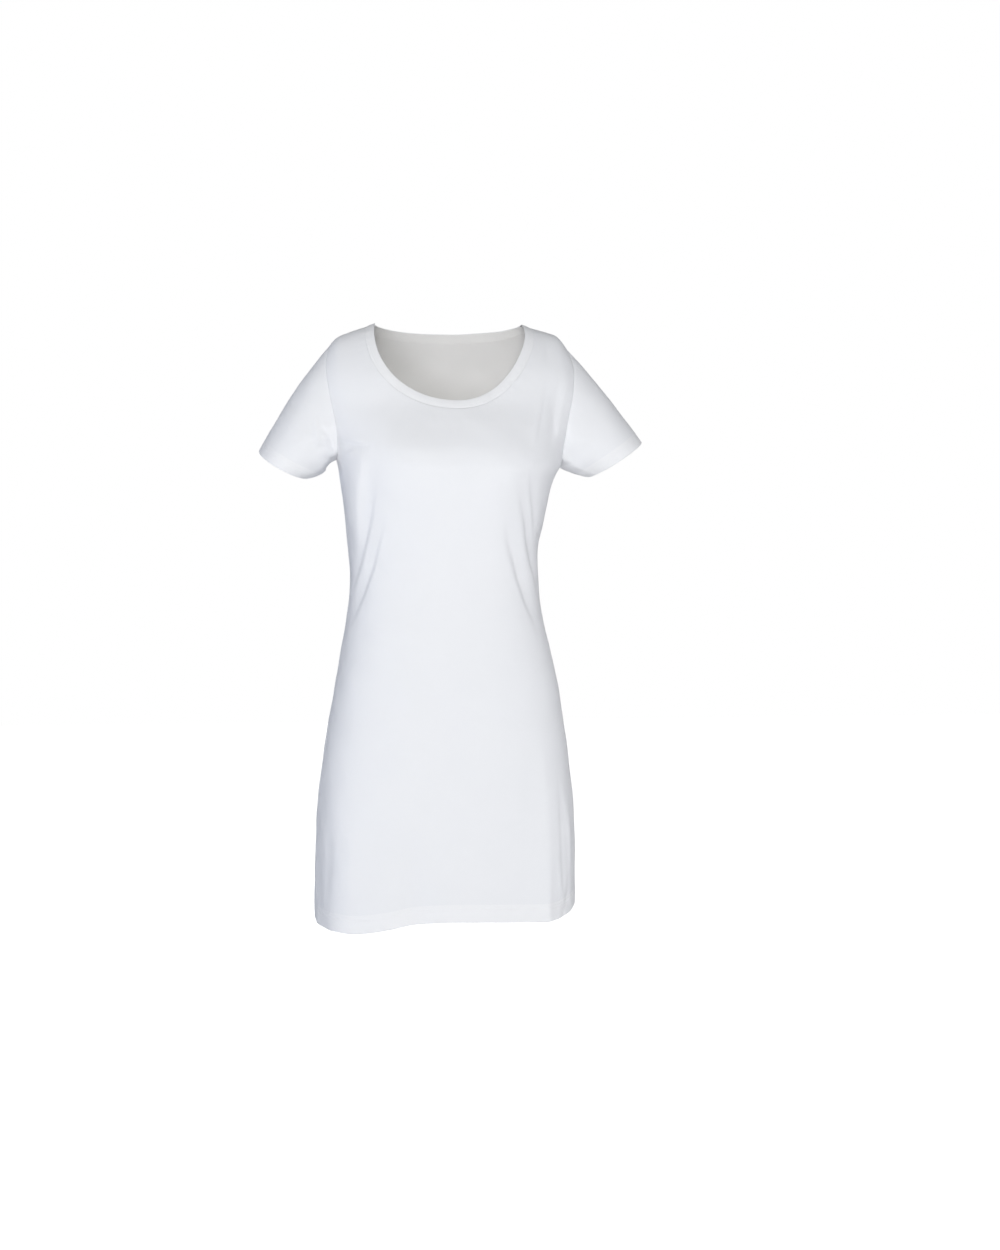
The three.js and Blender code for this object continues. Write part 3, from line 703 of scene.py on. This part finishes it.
def shoulder_way(points):
    """The direction square to the shoulder line in the front view."""
    step = 0.5
    x = points[:, 0]
    slope = (shoulder_height(x + step) - shoulder_height(x - step)) / (2 * step)
    return unit(np.stack([-slope, 0 * x, 1 + 0 * x], -1))


def neck_way(points):
    """The direction that faces away from the neck on its seam: forward or back, and half as much up."""
    x, y, _ = points.T
    depth = np.where(y < 0, NECK_DEPTH[FRONT], NECK_DEPTH[BACK])
    return unit(np.stack([x * NECK_ASIDE, y / depth * NECK_HALF, NECK_HALF * NECK_UP + 0 * x], -1))


def sewing_press(points, ways, seams):
    """How far sewing presses the outer face in, and the directions at the seams. Each seam is a
    narrow valley with small puckers beside it, at uneven distances along the seam."""
    press, ways = np.zeros(len(points)), ways.copy()
    for line, way, depth in seams:
        distance, along = from_line(points, line)
        wobble = along / PUCKER_LENGTH + sum(by * np.sin(along / length) for by, length in PUCKER_STRAYS)
        fade = 1 - PUCKER_FADE * (1 - np.sin(along / PUCKER_FADE_LENGTH))
        pucker = PUCKER_DEPTH * np.sin(2 * np.pi * wobble) * fade
        beside = bump(distance, PUCKER_REACH) * (1 - bump(distance, VALLEY_WIDE))
        press = np.minimum(press, -depth * bump(distance, VALLEY_WIDE)) + pucker * beside
        if way:
            on_seam = distance < ON_SEAM
            ways[on_seam] = way(points[on_seam])
    return np.where(np.abs(press) < 1e-6, 0, press), ways


def turn_up(press, ids, heights, turn, rows):
    """Shapes a turned edge, whose rows of points lie at the given heights above it: a little raised
    where the cloth is double, pressed in along each row of stitches. Gives where it is double."""
    up = np.full(len(press), np.inf)
    up[ids] = heights[:, None]
    turned = np.isfinite(up)
    press[turned] += TURN_RAISE * smooth((turn - up[turned]) / 2 + 0.5)
    for row in rows:
        press[turned] -= STITCH_PRESS * bump(up[turned] - row, STITCH_PRESS_WIDE)
    return (up <= turn) * 1.0


EDGE_RINGS = 4


def cloth(name, points, quads, ways, press, wall, edge_ways, lay, double):
    """A piece of cloth as a closed shell: the outer face moved by the sewing's press, the inner face
    a wall's thickness behind, and half-round rings along free edges, where edge_ways points out. Lay
    is where each face's corners lie on the knit, and double is 1 where the cloth is two layers. Gives
    the piece, in metres, and the outer face's points."""
    outer = points + ways * press[:, None]
    inner = points - ways * wall[:, None]
    count = len(points)
    starts, ends = quads.reshape(-1), np.roll(quads, -1, axis=1).reshape(-1)
    alone = ~np.isin(starts * count + ends, ends * count + starts)
    a, b = starts[alone], ends[alone]
    rim = np.unique(a)
    place = np.full(count, -1)
    place[rim] = np.arange(len(rim))
    middle, half = (outer[rim] + inner[rim]) / 2, (outer[rim] - inner[rim]) / 2
    reach = np.linalg.norm(half, axis=1, keepdims=True) * edge_ways[rim]
    angles = np.pi * np.arange(1, EDGE_RINGS + 1) / (EDGE_RINGS + 1)
    rings = [middle + math.cos(angle) * half + math.sin(angle) * reach for angle in angles]
    faces = [quads, quads[:, ::-1] + count]
    levels = [np.arange(count), *(2 * count + k * len(rim) + place for k in range(EDGE_RINGS)),
              np.arange(count) + count]
    faces += [np.stack([upper[b], upper[a], under[a], under[b]], -1)
              for upper, under in zip(levels, levels[1:])]
    at_start = lay.reshape(-1, 2)[alone]
    at_end = np.roll(lay, -1, axis=1).reshape(-1, 2)[alone]
    rim_lay = np.stack([at_end, at_start, at_start, at_end], 1)
    lays = np.concatenate([lay, lay[:, ::-1], *[rim_lay] * (EDGE_RINGS + 1)])
    piece = mesh_piece(f"{name}_cloth", np.concatenate([outer, inner, *rings]), np.concatenate(faces))
    piece.data.uv_layers.new(name="weave").uv.foreach_set("vector", lays.ravel() * MILLIMETRE)
    layers = np.concatenate([double, 0 * double, *[double[rim]] * EDGE_RINGS])
    inside = np.concatenate([np.zeros(count), np.ones(count), np.zeros(len(rim) * EDGE_RINGS)])
    for mask, values in (("double_cloth", layers), ("inner_face", inside)):
        piece.data.attributes.new(mask, "FLOAT", "POINT").data.foreach_set("value", values)
    return piece, outer


def mesh_piece(name, points, faces):
    """A smooth-shaded object made of faces between points in millimetres."""
    mesh = bpy.data.meshes.new(name)
    mesh.from_pydata(points * MILLIMETRE, [], faces)
    mesh.polygons.foreach_set("use_smooth", np.ones(len(mesh.polygons), bool))
    piece = bpy.data.objects.new(name, mesh)
    scene.collection.objects.link(piece)
    return piece


def steps_along(grid, axis):
    """The running length along a grid's rows or columns, from its first point."""
    steps = np.linalg.norm(np.diff(grid, axis=axis), axis=-1)
    start = np.zeros_like(np.take(steps, [0], axis=axis))
    return np.concatenate([start, np.cumsum(steps, axis=axis)], axis=axis)


def panel_lay(lower, blocks):
    """How the knit lies on a panel: across and up the cloth in millimetres, with the wales upright
    at the middle. Above the neckline's corners it goes on from the row below."""
    across = steps_along(lower, 1)
    across = across - across[:, across.shape[1] // 2][:, None]
    up = steps_along(lower, 0)
    grids = [np.stack([across, up], -1)]
    first = len(FOOT_SHARES)
    for side, block in blocks.items():
        row = slice(0, first) if side == RIGHT else slice(None, -first - 1, -1)
        over = across[-1, row] + block[..., 0] - block[0, :, 0]
        grids.append(np.stack([over, up[-1, row] + steps_along(block, 0)], -1))
    return grids


KNIT_SLANT, KNIT_WAVE = 1.6, 0.3
GROOVE_SHADE = 0.07
KNIT_STRENGTH, KNIT_DEPTH = 0.35, 0.00022
CLOUD_SCALE, CLOUD_DETAIL = 16, 3
CRUMPLE_SCALE, CRUMPLE_DETAIL = 42, 4
CRUMPLE_STRENGTH, CRUMPLE_DEPTH = 0.5, 0.0012


def noise(tree, place, scale, detail):
    """An uneven value from 0 to 1 at a place."""
    node = node_of(tree, "ShaderNodeTexNoise")
    for name, value in (("Vector", place), ("Scale", scale), ("Detail", detail)):
        feed(tree, node.inputs[name], value)
    return node.outputs["Fac"]


def relief(tree, height, strength, depth):
    """A Bump node that raises the surface by a height."""
    node = node_of(tree, "ShaderNodeBump")
    for name, value in (("Height", height), ("Strength", strength), ("Distance", depth)):
        feed(tree, node.inputs[name], value)
    return node


def knit_group():
    """Plain knit: columns of v-shaped stitches. Each wale holds two strands, highest a quarter of
    the way in from its sides, and each strand waves along a line that slants up and outwards."""
    group = bpy.data.node_groups.new("jersey_knit", "ShaderNodeTree")
    for name, kind in (("Weave", "NodeSocketVector"), ("Wale", "NodeSocketFloat"),
                       ("Course", "NodeSocketFloat")):
        group.interface.new_socket(name, in_out="INPUT", socket_type=kind)
    group.interface.new_socket("Height", in_out="OUTPUT", socket_type="NodeSocketFloat")
    start, end = node_of(group, "NodeGroupInput"), node_of(group, "NodeGroupOutput")
    parts = node_of(group, "ShaderNodeSeparateXYZ")
    group.links.new(start.outputs["Weave"], parts.inputs[0])
    wale = math_of(group, "DIVIDE", parts.outputs["X"], start.outputs["Wale"])
    course = math_of(group, "DIVIDE", parts.outputs["Y"], start.outputs["Course"])
    off = math_of(group, "ABSOLUTE", math_of(group, "SUBTRACT", math_of(group, "FRACT", wale), 0.5))
    strand = math_of(group, "SINE", math_of(group, "MULTIPLY", off, 2 * math.pi))
    slant = math_of(group, "SUBTRACT", course, math_of(group, "MULTIPLY", off, KNIT_SLANT))
    wave = math_of(group, "COSINE", math_of(group, "MULTIPLY", slant, 2 * math.pi))
    waved = math_of(group, "MULTIPLY_ADD", wave, KNIT_WAVE, 1 - KNIT_WAVE)
    height = math_of(group, "MULTIPLY", strand, waved)
    group.links.new(height, end.inputs["Height"])
    return group


jersey_knit = knit_group()


def jersey(name, colour, tint, double_colour, inside_painted_light, wale, course):
    """White jersey: fine knit, a faint cloudiness between two near whites, slight crumple and nap, and
    painted shade in the knit's grooves. Double cloth lets less light through, so it is whiter. The inner
    face is painted lighter and warmer, as painted light for light that comes through the cloth into the
    hollow."""
    material = bpy.data.materials.new(name)
    material.use_nodes = True
    tree = material.node_tree
    shader = tree.nodes["Principled BSDF"]
    shader.inputs["Roughness"].default_value = 0.92
    shader.inputs["Sheen Weight"].default_value = 0.18
    shader.inputs["Sheen Roughness"].default_value = 0.5
    shader.inputs["Specular IOR Level"].default_value = 0.25
    lay = node_of(tree, "ShaderNodeUVMap", uv_map="weave").outputs["UV"]
    knit = node_of(tree, "ShaderNodeGroup", node_tree=jersey_knit)
    for socket, value in (("Weave", lay), ("Wale", wale), ("Course", course)):
        feed(tree, knit.inputs[socket], value)
    layers = node_of(tree, "ShaderNodeAttribute", attribute_name="double_cloth").outputs["Fac"]
    inside = node_of(tree, "ShaderNodeAttribute", attribute_name="inner_face").outputs["Fac"]
    place = node_of(tree, "ShaderNodeTexCoord").outputs["Object"]
    cloudy = mixed(tree, noise(tree, place, CLOUD_SCALE, CLOUD_DETAIL), colour, tint)
    layered = mixed(tree, layers, cloudy, double_colour)
    # The inner face is painted lighter and warmer: painted light for light that comes through the cloth.
    painted_inside = mixed(tree, inside, layered, inside_painted_light)
    # The knit's grooves are painted a little darker: painted shade in the hollows between its strands.
    painted_groove_shade = math_of(tree, "MULTIPLY_ADD", knit.outputs["Height"], GROOVE_SHADE, 1 - GROOVE_SHADE)
    feed(tree, shader.inputs["Base Color"], mixed(tree, 1.0, painted_inside, painted_groove_shade, "MULTIPLY"))
    crumple = noise(tree, place, CRUMPLE_SCALE, CRUMPLE_DETAIL)
    soft = relief(tree, crumple, CRUMPLE_STRENGTH, CRUMPLE_DEPTH)
    fine = relief(tree, knit.outputs["Height"], KNIT_STRENGTH, KNIT_DEPTH)
    tree.links.new(soft.outputs["Normal"], fine.inputs["Normal"])
    tree.links.new(fine.outputs["Normal"], shader.inputs["Normal"])
    return material


SEAMS = seam_lines()


def soften(face, points):
    """How far the finer creases and the ripple move the cloth."""
    return crease_rise(face, points) + ripple(points)


def soften_round(points, in_front):
    """The same for a piece that lies on both faces, with the numbers of its points in front."""
    soft = soften(BACK, points)
    in_front = np.unique(in_front)
    soft[in_front] = soften(FRONT, points[in_front])
    return soft


def make_panel(name, face, material):
    """Cuts, shapes and sews one panel, and puts it in place of its solid. Gives its grids on the
    finished outer face with their outward directions, and its neckline's points and turns."""
    lower, blocks, turns = panel(face)
    grids = [lower, blocks[RIGHT], blocks[LEFT]]
    outward = [face == FRONT, face == FRONT, face == BACK]
    points, ids, quads = sewn(grids, outward)
    ways = outward_ways(points, quads)
    inner_columns = slice(len(FOOT_SHARES), -len(FOOT_SHARES))
    rim = np.concatenate([ids[1][::-1, -1], ids[0][-1, inner_columns], ids[2][:, -1]])
    press, ways = sewing_press(points, ways, [*SEAMS, (points[rim], neck_way, NECK_SEAM_DEPTH)])
    double = turn_up(press, ids[0][:len(TURN_ROWS)], TURN_ROWS, HEM_TURN, HEM_ROWS)
    edge_ways = np.zeros_like(points)
    edge_ways[ids[0][0]] = unit(lower[0] - lower[1])
    lay = np.concatenate([corners_of(grid, way) for grid, way in zip(panel_lay(lower, blocks), outward)])
    shaped = points + ways * soften(face, points)[:, None]
    wall = mix(CLOTH, TURNED_CLOTH, double)
    piece, outer = cloth(name, shaped, quads, ways, press, wall, edge_ways, lay, double)
    piece.data.materials.append(material)
    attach(piece, "root")
    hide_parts(name)
    return {"grids": [outer[n] for n in ids], "ways": [ways[n] for n in ids], "rim": points[rim],
            "turns": turns}


WHITE = (0.905, 0.913, 0.935)
WHITE_TINT = (0.884, 0.894, 0.920)
DOUBLE_WHITE = (0.928, 0.934, 0.952)
# The inner face's colour is painted lighter and warmer than the outside: painted light for light through
# the cloth.
INSIDE_PAINTED_LIGHT = (0.965, 0.955, 0.940)
WALE, COURSE = 0.0009, 0.00075
white_jersey = jersey("white_jersey", WHITE, WHITE_TINT, DOUBLE_WHITE, INSIDE_PAINTED_LIGHT, WALE, COURSE)
front = make_panel("front_panel", FRONT, white_jersey)


# The back panel: the same jersey and hem, cut with a shallow neckline. It hollows at the waist and
# rounds over the seat, and hangs in soft upright folds below.
back = make_panel("back_panel", BACK, white_jersey)


# The sleeves: one piece of jersey each, closed by a seam under the arm and set into the armhole, with
# a narrow turn-up sewn by two rows. Drag lines run into each from the armpit.
SLEEVES = {
    "sleeve_right": {"side": RIGHT, "cuff": (-239.5, 5, -204), "along": (-0.47, 0.2, -0.86),
                     "tall": 40, "deep": 51, "belly": 5},
    "sleeve_left": {"side": LEFT, "cuff": (246.8, 0, -195.5), "along": (0.556, 0.04, -0.83),
                    "tall": 47, "deep": 45, "belly": 3},
}
SLEEVE_LENGTH = 150
SLEEVE_GIRTH = 280
SLEEVE_ROWS = 44
CUFF_TURN = 18
CUFF_ROWS = (12, 16)
CUFF_STEPS = np.arange(24.0, -1, -1)

# Turn is 0 on top of the sleeve, 90 in front, 180 beneath and 270 behind. Along is 0 at the armhole
# and 1 at the cuff.
SLEEVE_FOLDS = {
    RIGHT: table("turn1 along1 turn2 along2 wide rise", [
        (155, 0.05, 96, 0.62, 9, -3),
        (125, 0.1, 70, 0.7, 9, 2),
        (205, 0.05, 262, 0.6, 10, -3),
        (168, 0.02, 128, 0.5, 4.5, -1.5),
        (146, 0.03, 122, 0.45, 4, 1.1),
        (112, 0.25, 58, 0.8, 8, -0.9),
        (20, 0.1, 48, 0.9, 12, -0.6),
        (180, 0.02, 180, 0.5, 26, -3.5),
        (176, 0.4, 176, 1.1, 26, 2.5),
        (222, 0.05, 252, 0.5, 5, 1.2),
        (290, 0.2, 330, 0.8, 12, -0.9),
    ]),
    LEFT: table("turn1 along1 turn2 along2 wide rise", [
        (150, 0.05, 110, 0.7, 10, -2),
        (208, 0.05, 255, 0.65, 10, -3),
        (166, 0.03, 136, 0.5, 5, -1.4),
        (128, 0.1, 92, 0.6, 6, 0.8),
        (226, 0.05, 250, 0.5, 5, 1.2),
        (300, 0.2, 338, 0.85, 12, -0.8),
    ]),
}


def sleeve_rise(side, turn, along):
    """How far the folds lift a sleeve, laid out flat in millimetres."""
    degree = SLEEVE_GIRTH / 360
    rise = 0
    for turn1, along1, turn2, along2, wide, height in zip(*SLEEVE_FOLDS[side].values()):
        ends = (turn1 * degree, along1 * SLEEVE_LENGTH, turn2 * degree, along2 * SLEEVE_LENGTH)
        rise = rise + fold(turn * degree, along * SLEEVE_LENGTH, 1, *ends, 0, wide, 1, height)
    return rise


def sleeve_grid(side, cuff, along, tall, deep, belly):
    """Straight runs of cloth from the armhole's loop to the cuff's oval, bellied out between and
    folded. Gives the grid, from armhole to cuff, and the number of columns in front."""
    edges = [armhole(face, side, all_arm_rows(face)) for face in (FRONT, BACK)]
    shares = [steps_along(edge, 0) / steps_along(edge, 0)[-1] for edge in edges]
    start = np.concatenate([edges[0], edges[1][-2::-1]])
    angle = np.concatenate([np.pi * (1 - shares[0]), np.pi * (1 + shares[1][-2::-1])])
    along = unit(np.array(along))
    forward = unit(np.array([0.0, -1, 0]) + along * along[1])
    upward = np.cross(forward, along) * side
    out = np.cos(angle)[:, None] * tall * upward + np.sin(angle)[:, None] * deep * forward
    end = np.array(cuff) + out
    run = np.linalg.norm(end - start, axis=1)
    upper = graded(SLEEVE_ROWS, start=0.8)[:, None] * (1 - CUFF_STEPS[0] / run)
    share = np.concatenate([upper, 1 - CUFF_STEPS[1:, None] / run])
    lift = belly * 4 * share * (1 - share) + sleeve_rise(side, np.degrees(angle) % 360, share)
    grid = mix(start, end, share[..., None]) + unit(out) * lift[..., None]
    grid[0], grid[:, -1] = start, grid[:, 0]
    return grid, len(edges[0])


def make_sleeve(name, row):
    """Cuts, shapes and sets in one sleeve. Gives its finished outer face and outward directions."""
    grid, front_columns = sleeve_grid(**row)
    outward = [row["side"] == RIGHT]
    points, (ids,), quads = sewn([grid], outward)
    ways = outward_ways(points, quads)
    press, ways = sewing_press(points, ways, [*SEAMS, (grid[:, 0], None, SIDE_SEAM_DEPTH)])
    double = turn_up(press, ids[-len(CUFF_STEPS):], CUFF_STEPS, CUFF_TURN, CUFF_ROWS)
    wall = mix(CLOTH, TURNED_CLOTH, double)
    edge_ways = np.zeros_like(points)
    edge_ways[ids[-1]] = unit(grid[-1] - grid[-2])
    soft = soften_round(points, ids[:, :front_columns])
    around = steps_along(grid[len(grid) // 2], 0)
    down = steps_along(grid, 0)
    lay = corners_of(np.stack(np.broadcast_arrays(around, down), -1), *outward)
    shaped = points + ways * soft[:, None]
    piece, outer = cloth(name, shaped, quads, ways, press, wall, edge_ways, lay, double)
    piece.data.materials.append(white_jersey)
    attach(piece, "root")
    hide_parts(name)
    return {"grid": outer[ids], "ways": ways[ids]}


sleeves = {name: make_sleeve(name, row) for name, row in SLEEVES.items()}


# The neckband: a strip of the jersey folded double along its middle, sewn round the neckline and
# stretched a little, so that it stands smooth with its fold inwards. Two rows of stitches hold it.
BAND_CLOTH = 1.4
BAND_THICKENING = 10
BAND_LEAN = {FRONT: 5.5, BACK: 6}
BAND_ROLL = 0.3
BAND_COLUMN_STEPS = 24
BAND_SHARES = graded(BAND_COLUMN_STEPS, start=0.5, end=0.6)
BAND_ROWS = (1.6, 4.9)
BAND_PRESS = 0.14


def band_grid():
    """Rows from the neckline's seam to the band's folded edge, each column a straight run rolled a
    little outwards. The loop goes from the right shoulder round the front and back again."""
    loops = []
    for face, panel_made, part in ((FRONT, front, slice(None)), (BACK, back, slice(-2, None, -1))):
        start, turn = panel_made["rim"][part], panel_made["turns"][part]
        x, z = neck_place(NECK_EDGE, face, turn)
        edge = np.stack([x, start[:, 1] - face * BAND_LEAN[face] * np.sin(turn), z], -1)
        out = unit(np.stack([start[:, 0] * NECK_ASIDE, face * NECK_HALF * np.sin(turn),
                             np.full(len(turn), NECK_HALF * NECK_UP)], -1))
        share = BAND_SHARES[:, None, None]
        loops.append(mix(start, edge, share) + out * BAND_ROLL * 4 * share * (1 - share))
    grid = np.concatenate(loops, 1)
    grid[:, -1] = grid[:, 0]
    return grid, loops[0].shape[1]


def row_at(grid, up, height):
    """The row of points at a height up each column of a grid, between its nearest two points."""
    after = np.argmax(up >= height, axis=0)
    columns = np.arange(grid.shape[1])
    low, high = up[after - 1, columns], up[after, columns]
    return mix(grid[after - 1, columns], grid[after, columns], ((height - low) / (high - low))[:, None])


band, band_front = band_grid()
points, (ids,), quads = sewn([band], [True])
ways = outward_ways(points, quads)
press, ways = sewing_press(points, ways, [(band[0], neck_way, NECK_SEAM_DEPTH)])
soft = soften_round(points, ids[:, :band_front])
band_up = steps_along(band, 0)
from_seam = np.zeros(len(points))
from_seam[ids] = band_up
for row in BAND_ROWS:
    press -= BAND_PRESS * bump(from_seam - row, STITCH_PRESS_WIDE)
edge_ways = np.zeros_like(points)
edge_ways[ids[-1]] = unit(band[-1] - band[-2])
lay = corners_of(np.stack(np.broadcast_arrays(steps_along(band[0], 0), band_up), -1), True)
neckband, outer = cloth("neckband", points + ways * soft[:, None], quads, ways, press,
                        mix(CLOTH, BAND_CLOTH, smooth(from_seam / BAND_THICKENING)), edge_ways, lay,
                        np.ones(len(points)))
neckband.data.materials.append(white_jersey)
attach(neckband, "root")
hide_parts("neckband")


# The sewing thread: white thread in twin rows round the hem, the cuffs and the neckband's seam. Each
# stitch is a short rounded bar of thread that dips into the cloth at both ends.
STITCH_PITCH, STITCH_LENGTH = 3.0, 2.5
THREAD, THREAD_SIDES = 0.42, 6
THREAD_ARCH, THREAD_DIP = 0.30, 0.16
THREAD_STEPS = np.array([0, 0.15, 0.5, 0.85, 1])
THREAD_WHITE = (0.93, 0.935, 0.95)
THREAD_SHADE = (0.84, 0.85, 0.87)
THREAD_TAPER = 0.8
FIBRE_SCALE, FIBRE_DETAIL = 1800, 1
FIBRE_STRENGTH, FIBRE_DEPTH = 0.4, 0.0001


def thread_finish():
    """White spun thread: a slight gloss, and fibres that lie a little unevenly."""
    material = bpy.data.materials.new("white_thread")
    material.use_nodes = True
    tree = material.node_tree
    shader = tree.nodes["Principled BSDF"]
    shader.inputs["Roughness"].default_value = 0.6
    place = node_of(tree, "ShaderNodeTexCoord").outputs["Object"]
    fibres = noise(tree, place, FIBRE_SCALE, FIBRE_DETAIL)
    feed(tree, shader.inputs["Base Color"], mixed(tree, fibres, THREAD_SHADE, THREAD_WHITE))
    raised = relief(tree, fibres, FIBRE_STRENGTH, FIBRE_DEPTH)
    tree.links.new(raised.outputs["Normal"], shader.inputs["Normal"])
    return material


white_thread = thread_finish()


def stitch_ends(points, ways):
    """Where the stitches of a closed row start and end, at even steps, and which way is outwards."""
    points, ways = (np.concatenate([loop, loop[:1]]) for loop in (points, ways))
    length = steps_along(points, 0)
    count = round(length[-1] / STITCH_PITCH)
    middle = (np.arange(count) + 0.5) / count * length[-1]

    def at(values, where):
        return np.stack([np.interp(where, length, values[:, k]) for k in range(3)], -1)

    half = STITCH_LENGTH / 2
    return at(points, middle - half), at(points, middle + half), unit(at(ways, middle))


def stitches(name, rows):
    """Rows of stitches as one mesh: rings of thread along a low arch, narrower towards its ends."""
    start, end, way = (np.concatenate(part) for part in zip(*[stitch_ends(*row) for row in rows]))
    beside = unit(np.cross(end - start, way))
    off = 2 * THREAD_STEPS - 1
    rise = THREAD_ARCH * (1 - off**2) - THREAD_DIP
    middle = mix(start[:, None], end[:, None], THREAD_STEPS[:, None]) + way[:, None] * rise[:, None]
    turn = 2 * np.pi * np.arange(THREAD_SIDES) / THREAD_SIDES
    ring = np.cos(turn)[:, None] * beside[:, None] + np.sin(turn)[:, None] * way[:, None]
    thick = THREAD / 2 * np.sqrt(1 - THREAD_TAPER * off**2)
    places = middle[:, :, None] + ring[:, None] * thick[:, None, None]
    number = np.arange(places[..., 0].size).reshape(places.shape[:3])
    after = np.roll(number, -1, axis=2)
    sides = np.stack([number[:, :-1], number[:, 1:], after[:, 1:], after[:, :-1]], -1).reshape(-1, 4)
    ends = np.concatenate([number[:, 0], number[:, -1, ::-1]])
    piece = mesh_piece(name, places.reshape(-1, 3), [*sides.tolist(), *ends.tolist()])
    piece.data.materials.append(white_thread)
    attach(piece, "root")


def hem_loop(key, row):
    """A row round the skirt: along the front from right to left, and back along the back panel."""
    return np.concatenate([front[key][0][row], back[key][0][row][-2:0:-1]])


stitches("hem_stitches", [(hem_loop("grids", row), hem_loop("ways", row)) for row in HEM_ROWS])
for name, made in sleeves.items():
    rows = [(made["grid"][-1 - row, :-1], made["ways"][-1 - row, :-1]) for row in CUFF_ROWS]
    stitches(f"{name}_stitches", rows)
stitches("neckband_stitches", [
    (row_at(outer[ids], band_up, row)[:-1], row_at(ways[ids], band_up, row)[:-1]) for row in BAND_ROWS
])
